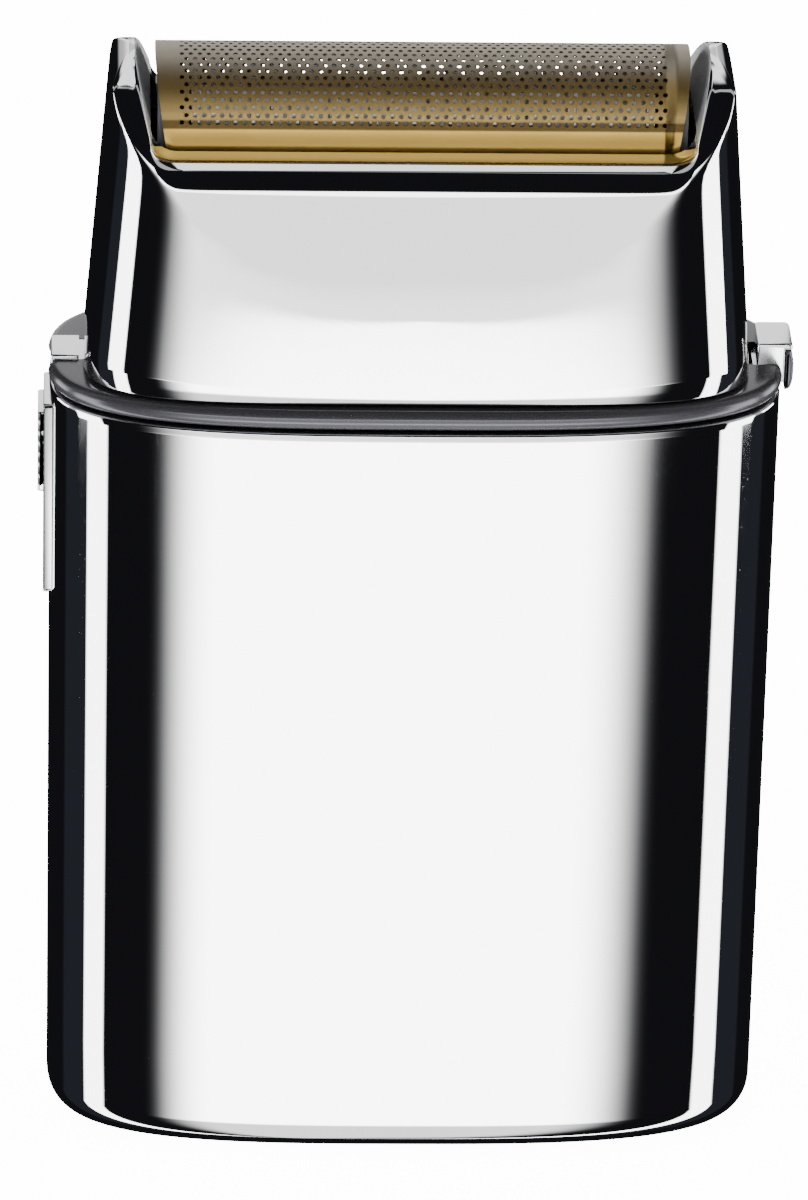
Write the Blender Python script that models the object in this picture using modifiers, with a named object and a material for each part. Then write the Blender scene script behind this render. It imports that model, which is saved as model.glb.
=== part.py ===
"""Cordless single-foil shaver, built as separate pieces at real size.

The frame is in metres with +Z up. The shaver stands on its base at Z = 0 with
its wide front towards -Y, the slide switch at -X and the release button at +X.
"""

import math

import bmesh
import bpy
from mathutils import Matrix, Vector

MM = 0.001

# Overall form
BODY_WIDTH = 64.0 * MM
LEDGE_Z = 75.1 * MM
HEAD_HEIGHT = 28.9 * MM
PLAN_POWER = 3.1
PLAN_POINTS = 48

# Clearances
GAP = 0.3 * MM
RUNNING_GAP = 0.06 * MM
OVERRUN = 1.0 * MM

# Body sleeve and ring
BODY_WALL = 1.2 * MM
BASE_STANDOFF = 0.5 * MM
BASE_FILLET = 3.6 * MM
BASE_EDGE = 0.8 * MM
RING_HEIGHT = 1.8 * MM
RING_PROUD = 0.15 * MM
RING_ROUND = 0.7 * MM
RING_SKIRT = 2.8 * MM
RING_SHELF_X = 5.0 * MM
RING_SHELF_Y = 3.1 * MM

# Base plate, inlet and lamp
BASE_PLATE_THICKNESS = 2.6 * MM
BASE_SCREW_X = 9.0 * MM
SCREW_HEAD_RADIUS = 1.6 * MM
SCREW_HEAD_HEIGHT = 1.0 * MM
SCREW_SHANK_RADIUS = 0.7 * MM
SCREW_SINK = 0.2 * MM
INLET_X = -18.0 * MM
INLET_HALF = 4.5 * MM
INLET_HEIGHT = 9.4 * MM
INLET_BORE = 2.75 * MM
INLET_PIN = 0.9 * MM
LAMP_X = -24.2 * MM
LAMP_RADIUS = 1.0 * MM

# Chassis
FLOOR_Z = 3.5 * MM
FLOOR_THICKNESS = 1.5 * MM
SHELF_DROP = 15.6 * MM
SHELF_THICKNESS = 2.5 * MM
CHASSIS_FIT = 0.5 * MM
SPINE_HALF_WIDTH = 19.0 * MM
SPINE_THICKNESS = 1.4 * MM
SPINE_CLEARANCE = 1.1 * MM
STANDOFF_RADIUS = 1.2 * MM
STANDOFF_INSET = 6.0 * MM
SWITCH_WALL_THICKNESS = 1.2 * MM
POST_X = 22.0 * MM
POST_RADIUS = 2.2 * MM
BOSS_RADIUS = 2.0 * MM
BOSS_HEIGHT = 4.5 * MM

# Cell
CELL_X = 20.0 * MM
CELL_RADIUS = 7.0 * MM
CELL_HEADROOM = 1.8 * MM
CELL_NUB_RADIUS = 2.7 * MM
CELL_NUB_HEIGHT = 1.0 * MM
CONTACT_THICKNESS = 0.4 * MM
CELL_BOTTOM_Z = 6.0 * MM

# Board and leads
BOARD_X0 = -27.0 * MM
BOARD_X1 = -11.5 * MM
BOARD_Z0 = 9.0 * MM
BOARD_HEADROOM = 3.0 * MM
BOARD_THICKNESS = 1.2 * MM
LEAD_RADIUS = 0.55 * MM
LEAD_SPREAD = 1.6 * MM
LEAD_DROP = 0.452
LEAD_BEND = 0.395

# Motor
MOTOR_RADIUS = 8.0 * MM
MOTOR_WALL = 0.8 * MM
MOTOR_LENGTH = 26.5 * MM
MOTOR_BOSS_RADIUS = 3.0 * MM
MOTOR_BOSS_HEIGHT = 1.1 * MM
MOTOR_CAP_HEIGHT = 3.0 * MM
MOTOR_SPINE_GAP = 1.0 * MM
SHAFT_RADIUS = 1.0 * MM
ROTOR_RADIUS = 4.6 * MM
ROTOR_LENGTH = 14.0 * MM
MAGNET_THICKNESS = 1.6 * MM
BRACKET_THICKNESS = 1.2 * MM
BRACKET_HALF_Y = 7.4 * MM
BRACKET_SCREW_OFFSET = 3.0 * MM
BRACKET_END = 1.9 * MM

# Drive
ORBIT = 1.0 * MM
STROKE = 0.8 * MM
ECCENTRIC_RADIUS = 3.4 * MM
CRANK_PIN_RADIUS = 0.8 * MM
ROLLER_RADIUS = 1.5 * MM
ROLLER_HEIGHT = 3.2 * MM
ROLLER_HEAD = 0.5 * MM
ROLLER_FOOT = 0.4 * MM
BRIDGE_OVERHANG = 0.1 * MM
BRIDGE_HALF_Y = 5.0 * MM
BRIDGE_HEIGHT = 5.2 * MM
BRIDGE_ROOF = 1.3 * MM
LEG_THICKNESS = 0.5 * MM
LEG_HALF_Y = 4.0 * MM
DRIVE_POST_RADIUS = 1.5 * MM
COLLAR_RADIUS = 3.0 * MM
COLLAR_HEIGHT = 1.2 * MM
SPRING_LENGTH = 6.8 * MM
SPRING_WIRE = 0.25 * MM
SPRING_TURNS = 5

# Deck
DECK_THICKNESS = 3.0 * MM
SEAL_HEIGHT = 4.4 * MM
SEAL_RADIUS = 6.0 * MM
DECK_SCREW_LENGTH = 9.0 * MM
DECK_SCREW_HEAD_RADIUS = 1.9 * MM
DECK_SCREW_HEAD_HEIGHT = 1.2 * MM

# Head
NECK_STEP_X = 2.85 * MM
NECK_STEP_Y = 0.96 * MM
NECK_TAPER = 0.082
HEAD_WALL = 1.2 * MM
HEAD_POINTS = 64
HEAD_POWER = 4.2
PROFILE_SLACK = 0.02 * MM
FACE_ROLL_DROP = 20.5 * MM
FACE_ROLL_DEPTH = 1.22 * MM
FACE_ROLL_POWER = 2.67
LIP_DROP = 8.8 * MM
HORN_ARC_DROP = 15.5 * MM
LIP_TOP_DROP = 7.1 * MM
ROOF_THICKNESS = 1.6 * MM
SADDLE_CLEARANCE = 0.35 * MM
SADDLE_CORNER = 2.4 * MM
HORN_ROUND_X = 2.85 * MM
HORN_ROUND_Z = 3.1 * MM
LIP_CHAMFER = 1.3 * MM
LINER_WALL = 1.0 * MM
LINER_ROOF = 1.2 * MM

# Foil cassette and cutter
FOIL_HALF_DEPTH = 5.6 * MM
FOIL_ARCH_RISE = 5.0 * MM
FOIL_THICKNESS = 0.25 * MM
FOIL_CROWN_HALF_WIDTH = 23.05 * MM
FOIL_END_SLOPE = 1.2 * MM
FOIL_HOLE_CLEARANCE = 0.7 * MM
ARCH_STEPS = 18
FRAME_FLANGE_HEIGHT = 2.2 * MM
FRAME_END_INSET = 0.25 * MM
FRAME_CLEARANCE = 0.19 * MM
FRAME_CHEEK = 1.2 * MM
COMB_CLEARANCE = 0.36 * MM
BLADE_PITCH = 1.7 * MM
BLADE_SLOT = 1.0 * MM
BLADE_COUNT = 24
SPINE_BAR = 1.2 * MM
CARRIER_HALF_WIDTH = 17.0 * MM
CARRIER_INSET = 1.8 * MM
CARRIER_HEIGHT = 5.0 * MM
FLOAT_TRAVEL = 1.2 * MM

# Switch
SWITCH_WINDOW_DROP = 3.5 * MM
SWITCH_WINDOW_LENGTH = 19.0 * MM
SWITCH_WINDOW_HALF_Y = 3.9 * MM
SWITCH_PROUD = 0.5 * MM
BEZEL_RIM = 0.9 * MM
BEZEL_FLOOR_DEPTH = 0.8 * MM
BEZEL_FLOOR = 0.7 * MM
KNOB_LENGTH = 7.8 * MM
KNOB_PROUD = 1.0 * MM
KNOB_RIBS = 7
RIB_DEPTH = 0.35 * MM
STEM_HALF_Y = 0.8 * MM
STEM_LENGTH = 3.0 * MM
SWITCH_TRAVEL = 7.0 * MM
SWITCH_BODY_DEPTH = 3.4 * MM
SWITCH_BODY_HALF_Y = 2.6 * MM

# Release button and head hook
BUTTON_HALF_Y = 2.35 * MM
BUTTON_TOP = 2.0 * MM
BUTTON_PROUD = 1.1 * MM
BUTTON_CAP = 0.75 * MM
BUTTON_DROP = 2.5 * MM
BUTTON_NECK_GAP = 0.125 * MM
PRESS_TRAVEL = 0.6 * MM
POCKET_DEPTH = 2.1 * MM
HOOK_HALF_Y = 2.15 * MM
HOOK_PROUD = 0.4 * MM
RELEASE_COIL_RADIUS = 0.62 * MM
RELEASE_WIRE = 0.13 * MM
RELEASE_TURNS = 3

SHAVER_HEIGHT = LEDGE_Z + HEAD_HEIGHT
SHELF_TOP_Z = LEDGE_Z - SHELF_DROP
SWITCH_WINDOW_Z1 = LEDGE_Z - SWITCH_WINDOW_DROP
SWITCH_WINDOW_Z0 = SWITCH_WINDOW_Z1 - SWITCH_WINDOW_LENGTH
SPINE_Y = MOTOR_RADIUS + MOTOR_SPINE_GAP
HALF_WIDTH = BODY_WIDTH / 2
HALF_DEPTH = SPINE_Y + SPINE_THICKNESS + SPINE_CLEARANCE + BODY_WALL
NECK_HALF_WIDTH = HALF_WIDTH - NECK_STEP_X
NECK_HALF_DEPTH = HALF_DEPTH - NECK_STEP_Y
CELL_LENGTH = SHELF_TOP_Z - SHELF_THICKNESS - CELL_HEADROOM - CELL_BOTTOM_Z
BOARD_Z1 = SHELF_TOP_Z - SHELF_THICKNESS - BOARD_HEADROOM
BRACKET_SCREW_X = MOTOR_RADIUS + BRACKET_SCREW_OFFSET
BRACKET_HALF_X = BRACKET_SCREW_X + BRACKET_END
BRIDGE_HALF_X = BRACKET_HALF_X + BRIDGE_OVERHANG
RING_BOTTOM_Z = LEDGE_Z - RING_HEIGHT
SHELL_TOP_Z = RING_BOTTOM_Z - GAP
DECK_TOP_Z = LEDGE_Z - GAP
DECK_BOTTOM_Z = DECK_TOP_Z - DECK_THICKNESS
HEAD_BOTTOM_Z = LEDGE_Z + GAP
BRIDGE_TOP_Z = DECK_BOTTOM_Z - 2 * GAP
BRIDGE_BOTTOM_Z = BRIDGE_TOP_Z - BRIDGE_HEIGHT
LIP_TOP_Z = SHAVER_HEIGHT - LIP_TOP_DROP
ROOF_BOTTOM_Z = LIP_TOP_Z - ROOF_THICKNESS
FOIL_SPRING_Z = SHAVER_HEIGHT - FOIL_ARCH_RISE
FRAME_TOP_Z = ROOF_BOTTOM_Z - GAP
FRAME_BOTTOM_Z = FRAME_TOP_Z - FRAME_FLANGE_HEIGHT
LINER_TOP_Z = FRAME_BOTTOM_Z - GAP
COMB_HALF_WIDTH = (BLADE_COUNT * BLADE_PITCH - BLADE_SLOT) / 2
COMB_BOTTOM_Z = FRAME_TOP_Z + 2.1 * MM
COMB_HALF_DEPTH = FOIL_HALF_DEPTH - FOIL_THICKNESS - COMB_CLEARANCE
SADDLE_HALF_WIDTH = FOIL_CROWN_HALF_WIDTH + SADDLE_CLEARANCE
FOIL_FOOT_HALF_WIDTH = FOIL_CROWN_HALF_WIDTH - FOIL_END_SLOPE
FRAME_HALF_WIDTH = FOIL_CROWN_HALF_WIDTH - FRAME_END_INSET
FRAME_SLOT_HALF_DEPTH = COMB_HALF_DEPTH + GAP
FRAME_SLOT_HALF_WIDTH = COMB_HALF_WIDTH + STROKE + GAP
CARRIER_HALF_DEPTH = FOIL_HALF_DEPTH - CARRIER_INSET
CARRIER_TOP_Z = COMB_BOTTOM_Z - GAP
CARRIER_BOTTOM_Z = CARRIER_TOP_Z - CARRIER_HEIGHT
COLLAR_TOP_Z = CARRIER_BOTTOM_Z - GAP - SPRING_LENGTH

PART_COLLECTION = "foil_shaver"
CUTTER_COLLECTION = "cutters"


def clear_scene():
    for old in list(bpy.data.objects):
        bpy.data.objects.remove(old, do_unlink=True)


def get_collection(name):
    found = bpy.data.collections.get(name)
    if found is None:
        found = bpy.data.collections.new(name)
        bpy.context.scene.collection.children.link(found)
    return found


def place_in(obj, collection_name):
    for holder in list(obj.users_collection):
        holder.objects.unlink(obj)
    get_collection(collection_name).objects.link(obj)
    return obj


def make_material(name, color, roughness, metallic, coat=0.0):
    material = bpy.data.materials.new(name)
    material.use_nodes = True
    shader = material.node_tree.nodes["Principled BSDF"]
    shader.inputs["Base Color"].default_value = (*color, 1.0)
    shader.inputs["Roughness"].default_value = roughness
    shader.inputs["Metallic"].default_value = metallic
    shader.inputs["Coat Weight"].default_value = coat
    return material


def object_from_bmesh(name, bm):
    bmesh.ops.recalc_face_normals(bm, faces=bm.faces[:])
    mesh = bpy.data.meshes.new(name)
    bm.to_mesh(mesh)
    bm.free()
    obj = bpy.data.objects.new(name, mesh)
    return place_in(obj, PART_COLLECTION)


def shade(obj, angle=40.0):
    obj.data.shade_smooth()
    obj.data.set_sharp_from_angle(angle=math.radians(angle))
    return obj


# ---------------------------------------------------------------- basic solids


def box(name, low, high):
    bm = bmesh.new()
    bmesh.ops.create_cube(bm, size=1.0)
    low = Vector(low)
    high = Vector(high)
    bmesh.ops.scale(bm, vec=high - low, verts=bm.verts[:])
    bmesh.ops.translate(bm, vec=(low + high) / 2, verts=bm.verts[:])
    return object_from_bmesh(name, bm)


def rod(name, start, end, radius, segments=24, end_radius=None):
    """A cylinder or a cone between two points."""
    start = Vector(start)
    end = Vector(end)
    axis = end - start
    turn = Vector((0, 0, 1)).rotation_difference(axis).to_matrix().to_4x4()
    place = Matrix.Translation((start + end) / 2) @ turn
    bm = bmesh.new()
    bmesh.ops.create_cone(
        bm,
        cap_ends=True,
        segments=segments,
        radius1=radius,
        radius2=radius if end_radius is None else end_radius,
        depth=axis.length,
        matrix=place,
    )
    return shade(object_from_bmesh(name, bm))


def turned(name, profile, center, steps=32, closed=False):
    """A profile of (radius, z) pairs, listed down its outer side, turned about Z."""
    bm = bmesh.new()
    verts = [bm.verts.new((radius, 0.0, z)) for radius, z in profile]
    for first, second in zip(verts, verts[1:]):
        bm.edges.new((first, second))
    if closed:
        bm.edges.new((verts[-1], verts[0]))
    mesh = bpy.data.meshes.new(name)
    bm.to_mesh(mesh)
    bm.free()
    obj = place_in(bpy.data.objects.new(name, mesh), PART_COLLECTION)
    obj.location = center
    screw = obj.modifiers.new("Turn", "SCREW")
    screw.steps = steps
    screw.render_steps = steps
    screw.use_merge_vertices = True
    screw.merge_threshold = 0.00001
    screw.use_smooth_shade = True
    return obj


def plan_outline(half_width, half_depth, count=PLAN_POINTS, power=PLAN_POWER):
    """Points round a squarish oval: |x/a|^n + |y/b|^n = 1."""
    points = []
    for index in range(count):
        angle = 2 * math.pi * index / count
        cosine = math.cos(angle)
        sine = math.sin(angle)
        x = math.copysign(abs(cosine) ** (2 / power), cosine) * half_width
        y = math.copysign(abs(sine) ** (2 / power), sine) * half_depth
        points.append((x, y))
    return points


def plan_solid(name, sections, count=PLAN_POINTS, power=PLAN_POWER):
    """A closed solid through (z, half width, half depth) sections, bottom to top."""
    bm = bmesh.new()
    made = bmesh.ops.create_circle(bm, cap_ends=True, segments=count, radius=1.0)
    ring = sorted(made["verts"], key=turn_angle)
    edges = bm.edges[:]
    set_ring(ring, sections[0], power)
    for section in sections[1:]:
        grown = bmesh.ops.extrude_edge_only(bm, edges=edges)["geom"]
        edges = [item for item in grown if isinstance(item, bmesh.types.BMEdge)]
        ring = sorted((item for item in grown if isinstance(item, bmesh.types.BMVert)), key=turn_angle)
        edges = [edge for edge in edges if all(vert in ring for vert in edge.verts)]
        set_ring(ring, section, power)
    bmesh.ops.edgeloop_fill(bm, edges=edges)
    return shade(object_from_bmesh(name, bm))


def turn_angle(vert):
    """Angle of a vertex about Z, with a hair's width of slack at the seam."""
    return (math.atan2(vert.co.y, vert.co.x) + 0.001) % (2 * math.pi)


def set_ring(ring, section, power):
    z, half_width, half_depth = section
    for vert, (x, y) in zip(ring, plan_outline(half_width, half_depth, len(ring), power)):
        vert.co = Vector((x, y, z))


def rounded_levels(z0, z1, half_width, half_depth, bottom=0.0, top=0.0, steps=4):
    """Sections of an upright solid whose bottom and top edges are rounded."""
    levels = []
    if bottom:
        for step in range(steps + 1):
            angle = math.pi / 2 * step / steps
            inset = bottom * (1 - math.sin(angle))
            levels.append((z0 + bottom * (1 - math.cos(angle)), half_width - inset, half_depth - inset))
    else:
        levels.append((z0, half_width, half_depth))
    if top:
        for step in range(steps + 1):
            angle = math.pi / 2 * step / steps
            inset = top * (1 - math.cos(angle))
            levels.append((z1 - top + top * math.sin(angle), half_width - inset, half_depth - inset))
    else:
        levels.append((z1, half_width, half_depth))
    return levels


def outline_solid(name, points, plane, low, high):
    """A flat outline in the XZ or YZ plane, thickened from low to high across it."""
    curve = bpy.data.curves.new(name, "CURVE")
    curve.dimensions = "2D"
    curve.fill_mode = "BOTH"
    curve.extrude = (high - low) / 2
    spline = curve.splines.new("POLY")
    spline.points.add(len(points) - 1)
    for point, (first, second) in zip(spline.points, points):
        point.co = (first, second, 0.0, 1.0)
    spline.use_cyclic_u = True
    raw = bpy.data.objects.new(name + "_outline", curve)
    bpy.context.scene.collection.objects.link(raw)
    if plane == "XZ":
        turn = Matrix(((1, 0, 0, 0), (0, 0, -1, 0), (0, 1, 0, 0), (0, 0, 0, 1)))
        shift = Matrix.Translation((0, (low + high) / 2, 0))
    elif plane == "YZ":
        turn = Matrix(((0, 0, 1, 0), (1, 0, 0, 0), (0, 1, 0, 0), (0, 0, 0, 1)))
        shift = Matrix.Translation(((low + high) / 2, 0, 0))
    else:
        turn = Matrix.Identity(4)
        shift = Matrix.Translation((0, 0, (low + high) / 2))
    raw.matrix_world = shift @ turn
    return mesh_from_curve(raw, name)


def mesh_from_curve(raw, name):
    """The curve object as a welded mesh object in world coordinates."""
    bpy.context.view_layer.update()
    graph = bpy.context.evaluated_depsgraph_get()
    mesh = bpy.data.meshes.new_from_object(raw.evaluated_get(graph))
    mesh.transform(raw.matrix_world)
    bm = bmesh.new()
    bm.from_mesh(mesh)
    bmesh.ops.remove_doubles(bm, verts=bm.verts[:], dist=0.000001)
    bmesh.ops.recalc_face_normals(bm, faces=bm.faces[:])
    bm.to_mesh(mesh)
    bm.free()
    mesh.name = name
    bpy.data.objects.remove(raw, do_unlink=True)
    return place_in(bpy.data.objects.new(name, mesh), PART_COLLECTION)


def wire(name, points, radius, resolution=2):
    """A round wire through points, as a curve with closed ends."""
    curve = bpy.data.curves.new(name, "CURVE")
    curve.dimensions = "3D"
    curve.bevel_depth = radius
    curve.bevel_resolution = resolution
    curve.use_fill_caps = True
    spline = curve.splines.new("POLY")
    spline.points.add(len(points) - 1)
    for point, place in zip(spline.points, points):
        point.co = (*place, 1.0)
    raw = bpy.data.objects.new(name + "_path", curve)
    bpy.context.scene.collection.objects.link(raw)
    return shade(mesh_from_curve(raw, name), 50.0)


def combine(target, operation, *tools):
    """Boolean modifiers on the target, one for each tool, with the tools put away."""
    for tool in tools:
        modifier = target.modifiers.new(operation.title(), "BOOLEAN")
        modifier.operation = operation
        modifier.object = tool
        place_in(tool, CUTTER_COLLECTION)
        tool.hide_render = True
        tool.display_type = "WIRE"
    return target


def cut(target, *tools):
    return combine(target, "DIFFERENCE", *tools)


def join(target, *tools):
    return combine(target, "UNION", *tools)


def soften(obj, width, segments=2, angle=35.0):
    bevel = obj.modifiers.new("Edges", "BEVEL")
    bevel.width = width
    bevel.segments = segments
    bevel.limit_method = "ANGLE"
    bevel.angle_limit = math.radians(angle)
    return obj


def screw_solid(name, head_low, shank_end, head_radius, head_height, shank_radius, center):
    """A pan-head screw along Z: the head starts at head_low, the shank ends at shank_end."""
    upward = shank_end > head_low
    head_far = head_low + head_height
    if upward:
        profile = [(0, shank_end), (shank_radius, shank_end), (shank_radius, head_far)]
        profile += [(head_radius, head_far), (head_radius, head_low), (0, head_low)]
    else:
        profile = [(0, head_far), (head_radius, head_far), (head_radius, head_low)]
        profile += [(shank_radius, head_low), (shank_radius, shank_end), (0, shank_end)]
    return turned(name, profile, (center[0], center[1], 0.0), 16)


# ---------------------------------------------------------------- body


def build_body_shell():
    shell = plan_solid(
        "body_shell",
        rounded_levels(BASE_STANDOFF, SHELL_TOP_Z, HALF_WIDTH, HALF_DEPTH, bottom=BASE_FILLET),
    )
    inner = plan_solid(
        "body_hollow",
        rounded_levels(
            BASE_STANDOFF + BODY_WALL,
            SHELL_TOP_Z + OVERRUN,
            HALF_WIDTH - BODY_WALL,
            HALF_DEPTH - BODY_WALL,
            bottom=BASE_FILLET - BODY_WALL,
        ),
    )
    half_width, half_depth = base_opening()
    opening = plan_solid(
        "base_opening",
        rounded_levels(-OVERRUN, BASE_STANDOFF + BODY_WALL + OVERRUN, half_width, half_depth),
    )
    window = box(
        "switch_window",
        (-HALF_WIDTH - OVERRUN, -SWITCH_WINDOW_HALF_Y, SWITCH_WINDOW_Z0),
        (-HALF_WIDTH + BODY_WALL + OVERRUN, SWITCH_WINDOW_HALF_Y, SWITCH_WINDOW_Z1),
    )
    notch = box(
        "button_notch",
        (HALF_WIDTH - BODY_WALL - OVERRUN, -BUTTON_HALF_Y - GAP, LEDGE_Z - BUTTON_DROP - GAP),
        (HALF_WIDTH + OVERRUN, BUTTON_HALF_Y + GAP, SHELL_TOP_Z + OVERRUN),
    )
    return cut(shell, inner, opening, window, notch)


def base_opening():
    """Half width and half depth of the hole in the sleeve's floor."""
    inset = BASE_FILLET + BASE_EDGE
    return HALF_WIDTH - inset, HALF_DEPTH - inset


def build_shoulder_ring():
    ring = plan_solid(
        "shoulder_ring",
        rounded_levels(
            RING_BOTTOM_Z,
            LEDGE_Z,
            HALF_WIDTH + RING_PROUD,
            HALF_DEPTH + RING_PROUD,
            bottom=RING_ROUND,
            top=RING_ROUND,
            steps=3,
        ),
    )
    skirt = plan_solid(
        "ring_skirt",
        rounded_levels(
            RING_BOTTOM_Z - RING_SKIRT,
            LEDGE_Z - RING_HEIGHT / 2,
            HALF_WIDTH - BODY_WALL - GAP,
            HALF_DEPTH - BODY_WALL - GAP,
        ),
    )
    opening = plan_solid(
        "ring_opening",
        rounded_levels(
            RING_BOTTOM_Z - RING_SKIRT - OVERRUN,
            LEDGE_Z + OVERRUN,
            HALF_WIDTH - RING_SHELF_X,
            HALF_DEPTH - RING_SHELF_Y,
        ),
    )
    reach = HALF_WIDTH + RING_PROUD + OVERRUN
    right = box(
        "button_pocket",
        (HALF_WIDTH - RING_SHELF_X - OVERRUN, -BUTTON_HALF_Y - GAP, LEDGE_Z - POCKET_DEPTH),
        (reach, BUTTON_HALF_Y + GAP, LEDGE_Z + OVERRUN),
    )
    left = box(
        "hook_pocket",
        (-reach, -HOOK_HALF_Y - GAP, LEDGE_Z - POCKET_DEPTH),
        (-HALF_WIDTH + RING_SHELF_X + OVERRUN, HOOK_HALF_Y + GAP, LEDGE_Z + OVERRUN),
    )
    return cut(join(ring, skirt), opening, right, left)


def build_base_plate():
    half_width, half_depth = base_opening()
    plate = plan_solid(
        "base_plate",
        rounded_levels(
            0.0,
            BASE_PLATE_THICKNESS,
            half_width - GAP,
            half_depth - GAP,
            bottom=0.3 * MM,
            steps=2,
        ),
    )
    tools = []
    for side in (-1, 1):
        x = side * BASE_SCREW_X
        sink_depth = SCREW_SINK + SCREW_HEAD_HEIGHT + GAP
        tools.append(rod("screw_sink", (x, 0, -OVERRUN), (x, 0, sink_depth), SCREW_HEAD_RADIUS + GAP))
        top = BASE_PLATE_THICKNESS + OVERRUN
        tools.append(rod("screw_hole", (x, 0, -OVERRUN), (x, 0, top), SCREW_SHANK_RADIUS + GAP, 16))
    top = BASE_PLATE_THICKNESS + OVERRUN
    tools.append(rod("inlet_hole", (INLET_X, 0, -OVERRUN), (INLET_X, 0, top), INLET_BORE + GAP))
    tools.append(rod("lamp_hole", (LAMP_X, 0, -OVERRUN), (LAMP_X, 0, top), LAMP_RADIUS + GAP, 24))
    return cut(plate, *tools)


def build_base_screws():
    made = []
    for label, side in (("left", -1), ("right", 1)):
        end = FLOOR_Z + FLOOR_THICKNESS + BOSS_HEIGHT - OVERRUN
        made.append(
            screw_solid(
                "base_screw_" + label,
                SCREW_SINK,
                end,
                SCREW_HEAD_RADIUS,
                SCREW_HEAD_HEIGHT,
                SCREW_SHANK_RADIUS,
                (side * BASE_SCREW_X, 0),
            )
        )
    return made


def build_inlet():
    low = BASE_PLATE_THICKNESS + GAP
    body = box(
        "charging_inlet",
        (INLET_X - INLET_HALF, -INLET_HALF + 0.1 * MM, low),
        (INLET_X + INLET_HALF, INLET_HALF - 0.1 * MM, low + INLET_HEIGHT),
    )
    bore_top = low + INLET_HEIGHT - 1.2 * MM
    bore = rod("inlet_bore", (INLET_X, 0, low - OVERRUN), (INLET_X, 0, bore_top), INLET_BORE)
    pin = rod("inlet_pin", (INLET_X, 0, low + 0.8 * MM), (INLET_X, 0, bore_top + 0.5 * MM), INLET_PIN, 20)
    return join(cut(body, bore), pin)


def build_lamp():
    return turned(
        "charge_lamp",
        [
            (0, BASE_PLATE_THICKNESS),
            (LAMP_RADIUS, BASE_PLATE_THICKNESS),
            (LAMP_RADIUS, 0.3 * MM),
            (LAMP_RADIUS * 0.7, 0.15 * MM),
            (0, 0.1 * MM),
        ],
        (LAMP_X, 0, 0),
        20,
    )


# ---------------------------------------------------------------- chassis and power


def inner_plan(z0, z1, name):
    half_width = HALF_WIDTH - BODY_WALL - CHASSIS_FIT
    half_depth = HALF_DEPTH - BODY_WALL - CHASSIS_FIT
    return plan_solid(name, rounded_levels(z0, z1, half_width, half_depth))


def build_chassis():
    floor_top = FLOOR_Z + FLOOR_THICKNESS
    shelf_low = SHELF_TOP_Z - SHELF_THICKNESS
    chassis = inner_plan(FLOOR_Z, floor_top, "chassis")
    shelf = inner_plan(shelf_low, SHELF_TOP_Z, "chassis_shelf")
    spine = box(
        "chassis_spine",
        (-SPINE_HALF_WIDTH, SPINE_Y, FLOOR_Z + GAP),
        (SPINE_HALF_WIDTH, SPINE_Y + SPINE_THICKNESS, SHELF_TOP_Z - GAP),
    )
    motor_bottom = SHELF_TOP_Z - MOTOR_LENGTH
    cradle_top = motor_bottom - MOTOR_CAP_HEIGHT - GAP
    cradle = box(
        "motor_cradle",
        (-MOTOR_RADIUS, -MOTOR_RADIUS, cradle_top - FLOOR_THICKNESS),
        (MOTOR_RADIUS, SPINE_Y + SPINE_THICKNESS / 2, cradle_top),
    )
    switch_x = switch_body_inner_x() + 0.3 * MM
    upright = box(
        "switch_wall",
        (switch_x, -4.4 * MM, min(SWITCH_WINDOW_Z0, shelf_low)),
        (switch_x + SWITCH_WALL_THICKNESS, 4.4 * MM, SHELL_TOP_Z - RING_SKIRT),
    )
    tools = [shelf, spine, cradle, upright]
    standoff_x = (BOARD_X1 - SPINE_HALF_WIDTH) / 2
    board_back = board_front_y() + BOARD_THICKNESS
    for z in (BOARD_Z0 + STANDOFF_INSET, BOARD_Z1 - STANDOFF_INSET):
        start = (standoff_x, board_back + GAP, z)
        tools.append(rod("board_standoff", start, (standoff_x, SPINE_Y + GAP, z), STANDOFF_RADIUS))
    for side in (-1, 1):
        x = side * POST_X
        tools.append(rod("deck_post", (x, 0, SHELF_TOP_Z - GAP), (x, 0, DECK_BOTTOM_Z - GAP), POST_RADIUS))
        x = side * BASE_SCREW_X
        tools.append(rod("base_boss", (x, 0, FLOOR_Z + GAP), (x, 0, floor_top + BOSS_HEIGHT), BOSS_RADIUS))
    join(chassis, *tools)
    holes = [
        rod(
            "motor_hole",
            (0, 0, shelf_low - OVERRUN),
            (0, 0, SHELF_TOP_Z + OVERRUN),
            MOTOR_RADIUS + GAP,
            32,
        ),
        rod(
            "lead_hole",
            (0, 0, cradle_top - FLOOR_THICKNESS - OVERRUN),
            (0, 0, cradle_top + OVERRUN),
            MOTOR_RADIUS - 2.4 * MM,
        ),
        box(
            "inlet_opening",
            (INLET_X - INLET_HALF - GAP, -INLET_HALF - GAP, FLOOR_Z - OVERRUN),
            (INLET_X + INLET_HALF + GAP, INLET_HALF + GAP, floor_top + OVERRUN),
        ),
        box(
            "switch_bay",
            (-HALF_WIDTH, -4.6 * MM, shelf_low - OVERRUN),
            (switch_x, 4.6 * MM, SHELF_TOP_Z + OVERRUN),
        ),
    ]
    for side in (-1, 1):
        hole_radius = SCREW_SHANK_RADIUS + GAP
        x = side * POST_X
        bottom = DECK_TOP_Z - DECK_SCREW_LENGTH - OVERRUN
        holes.append(rod("post_hole", (x, 0, bottom), (x, 0, DECK_TOP_Z), hole_radius, 16))
        x = side * BASE_SCREW_X
        top = floor_top + BOSS_HEIGHT + OVERRUN
        holes.append(rod("boss_hole", (x, 0, FLOOR_Z - OVERRUN), (x, 0, top), hole_radius, 16))
        x = side * BRACKET_SCREW_X
        holes.append(rod("shelf_hole", (x, 0, shelf_low - OVERRUN), (x, 0, SHELF_TOP_Z + OVERRUN), hole_radius, 16))
    return cut(chassis, *holes)


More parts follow.
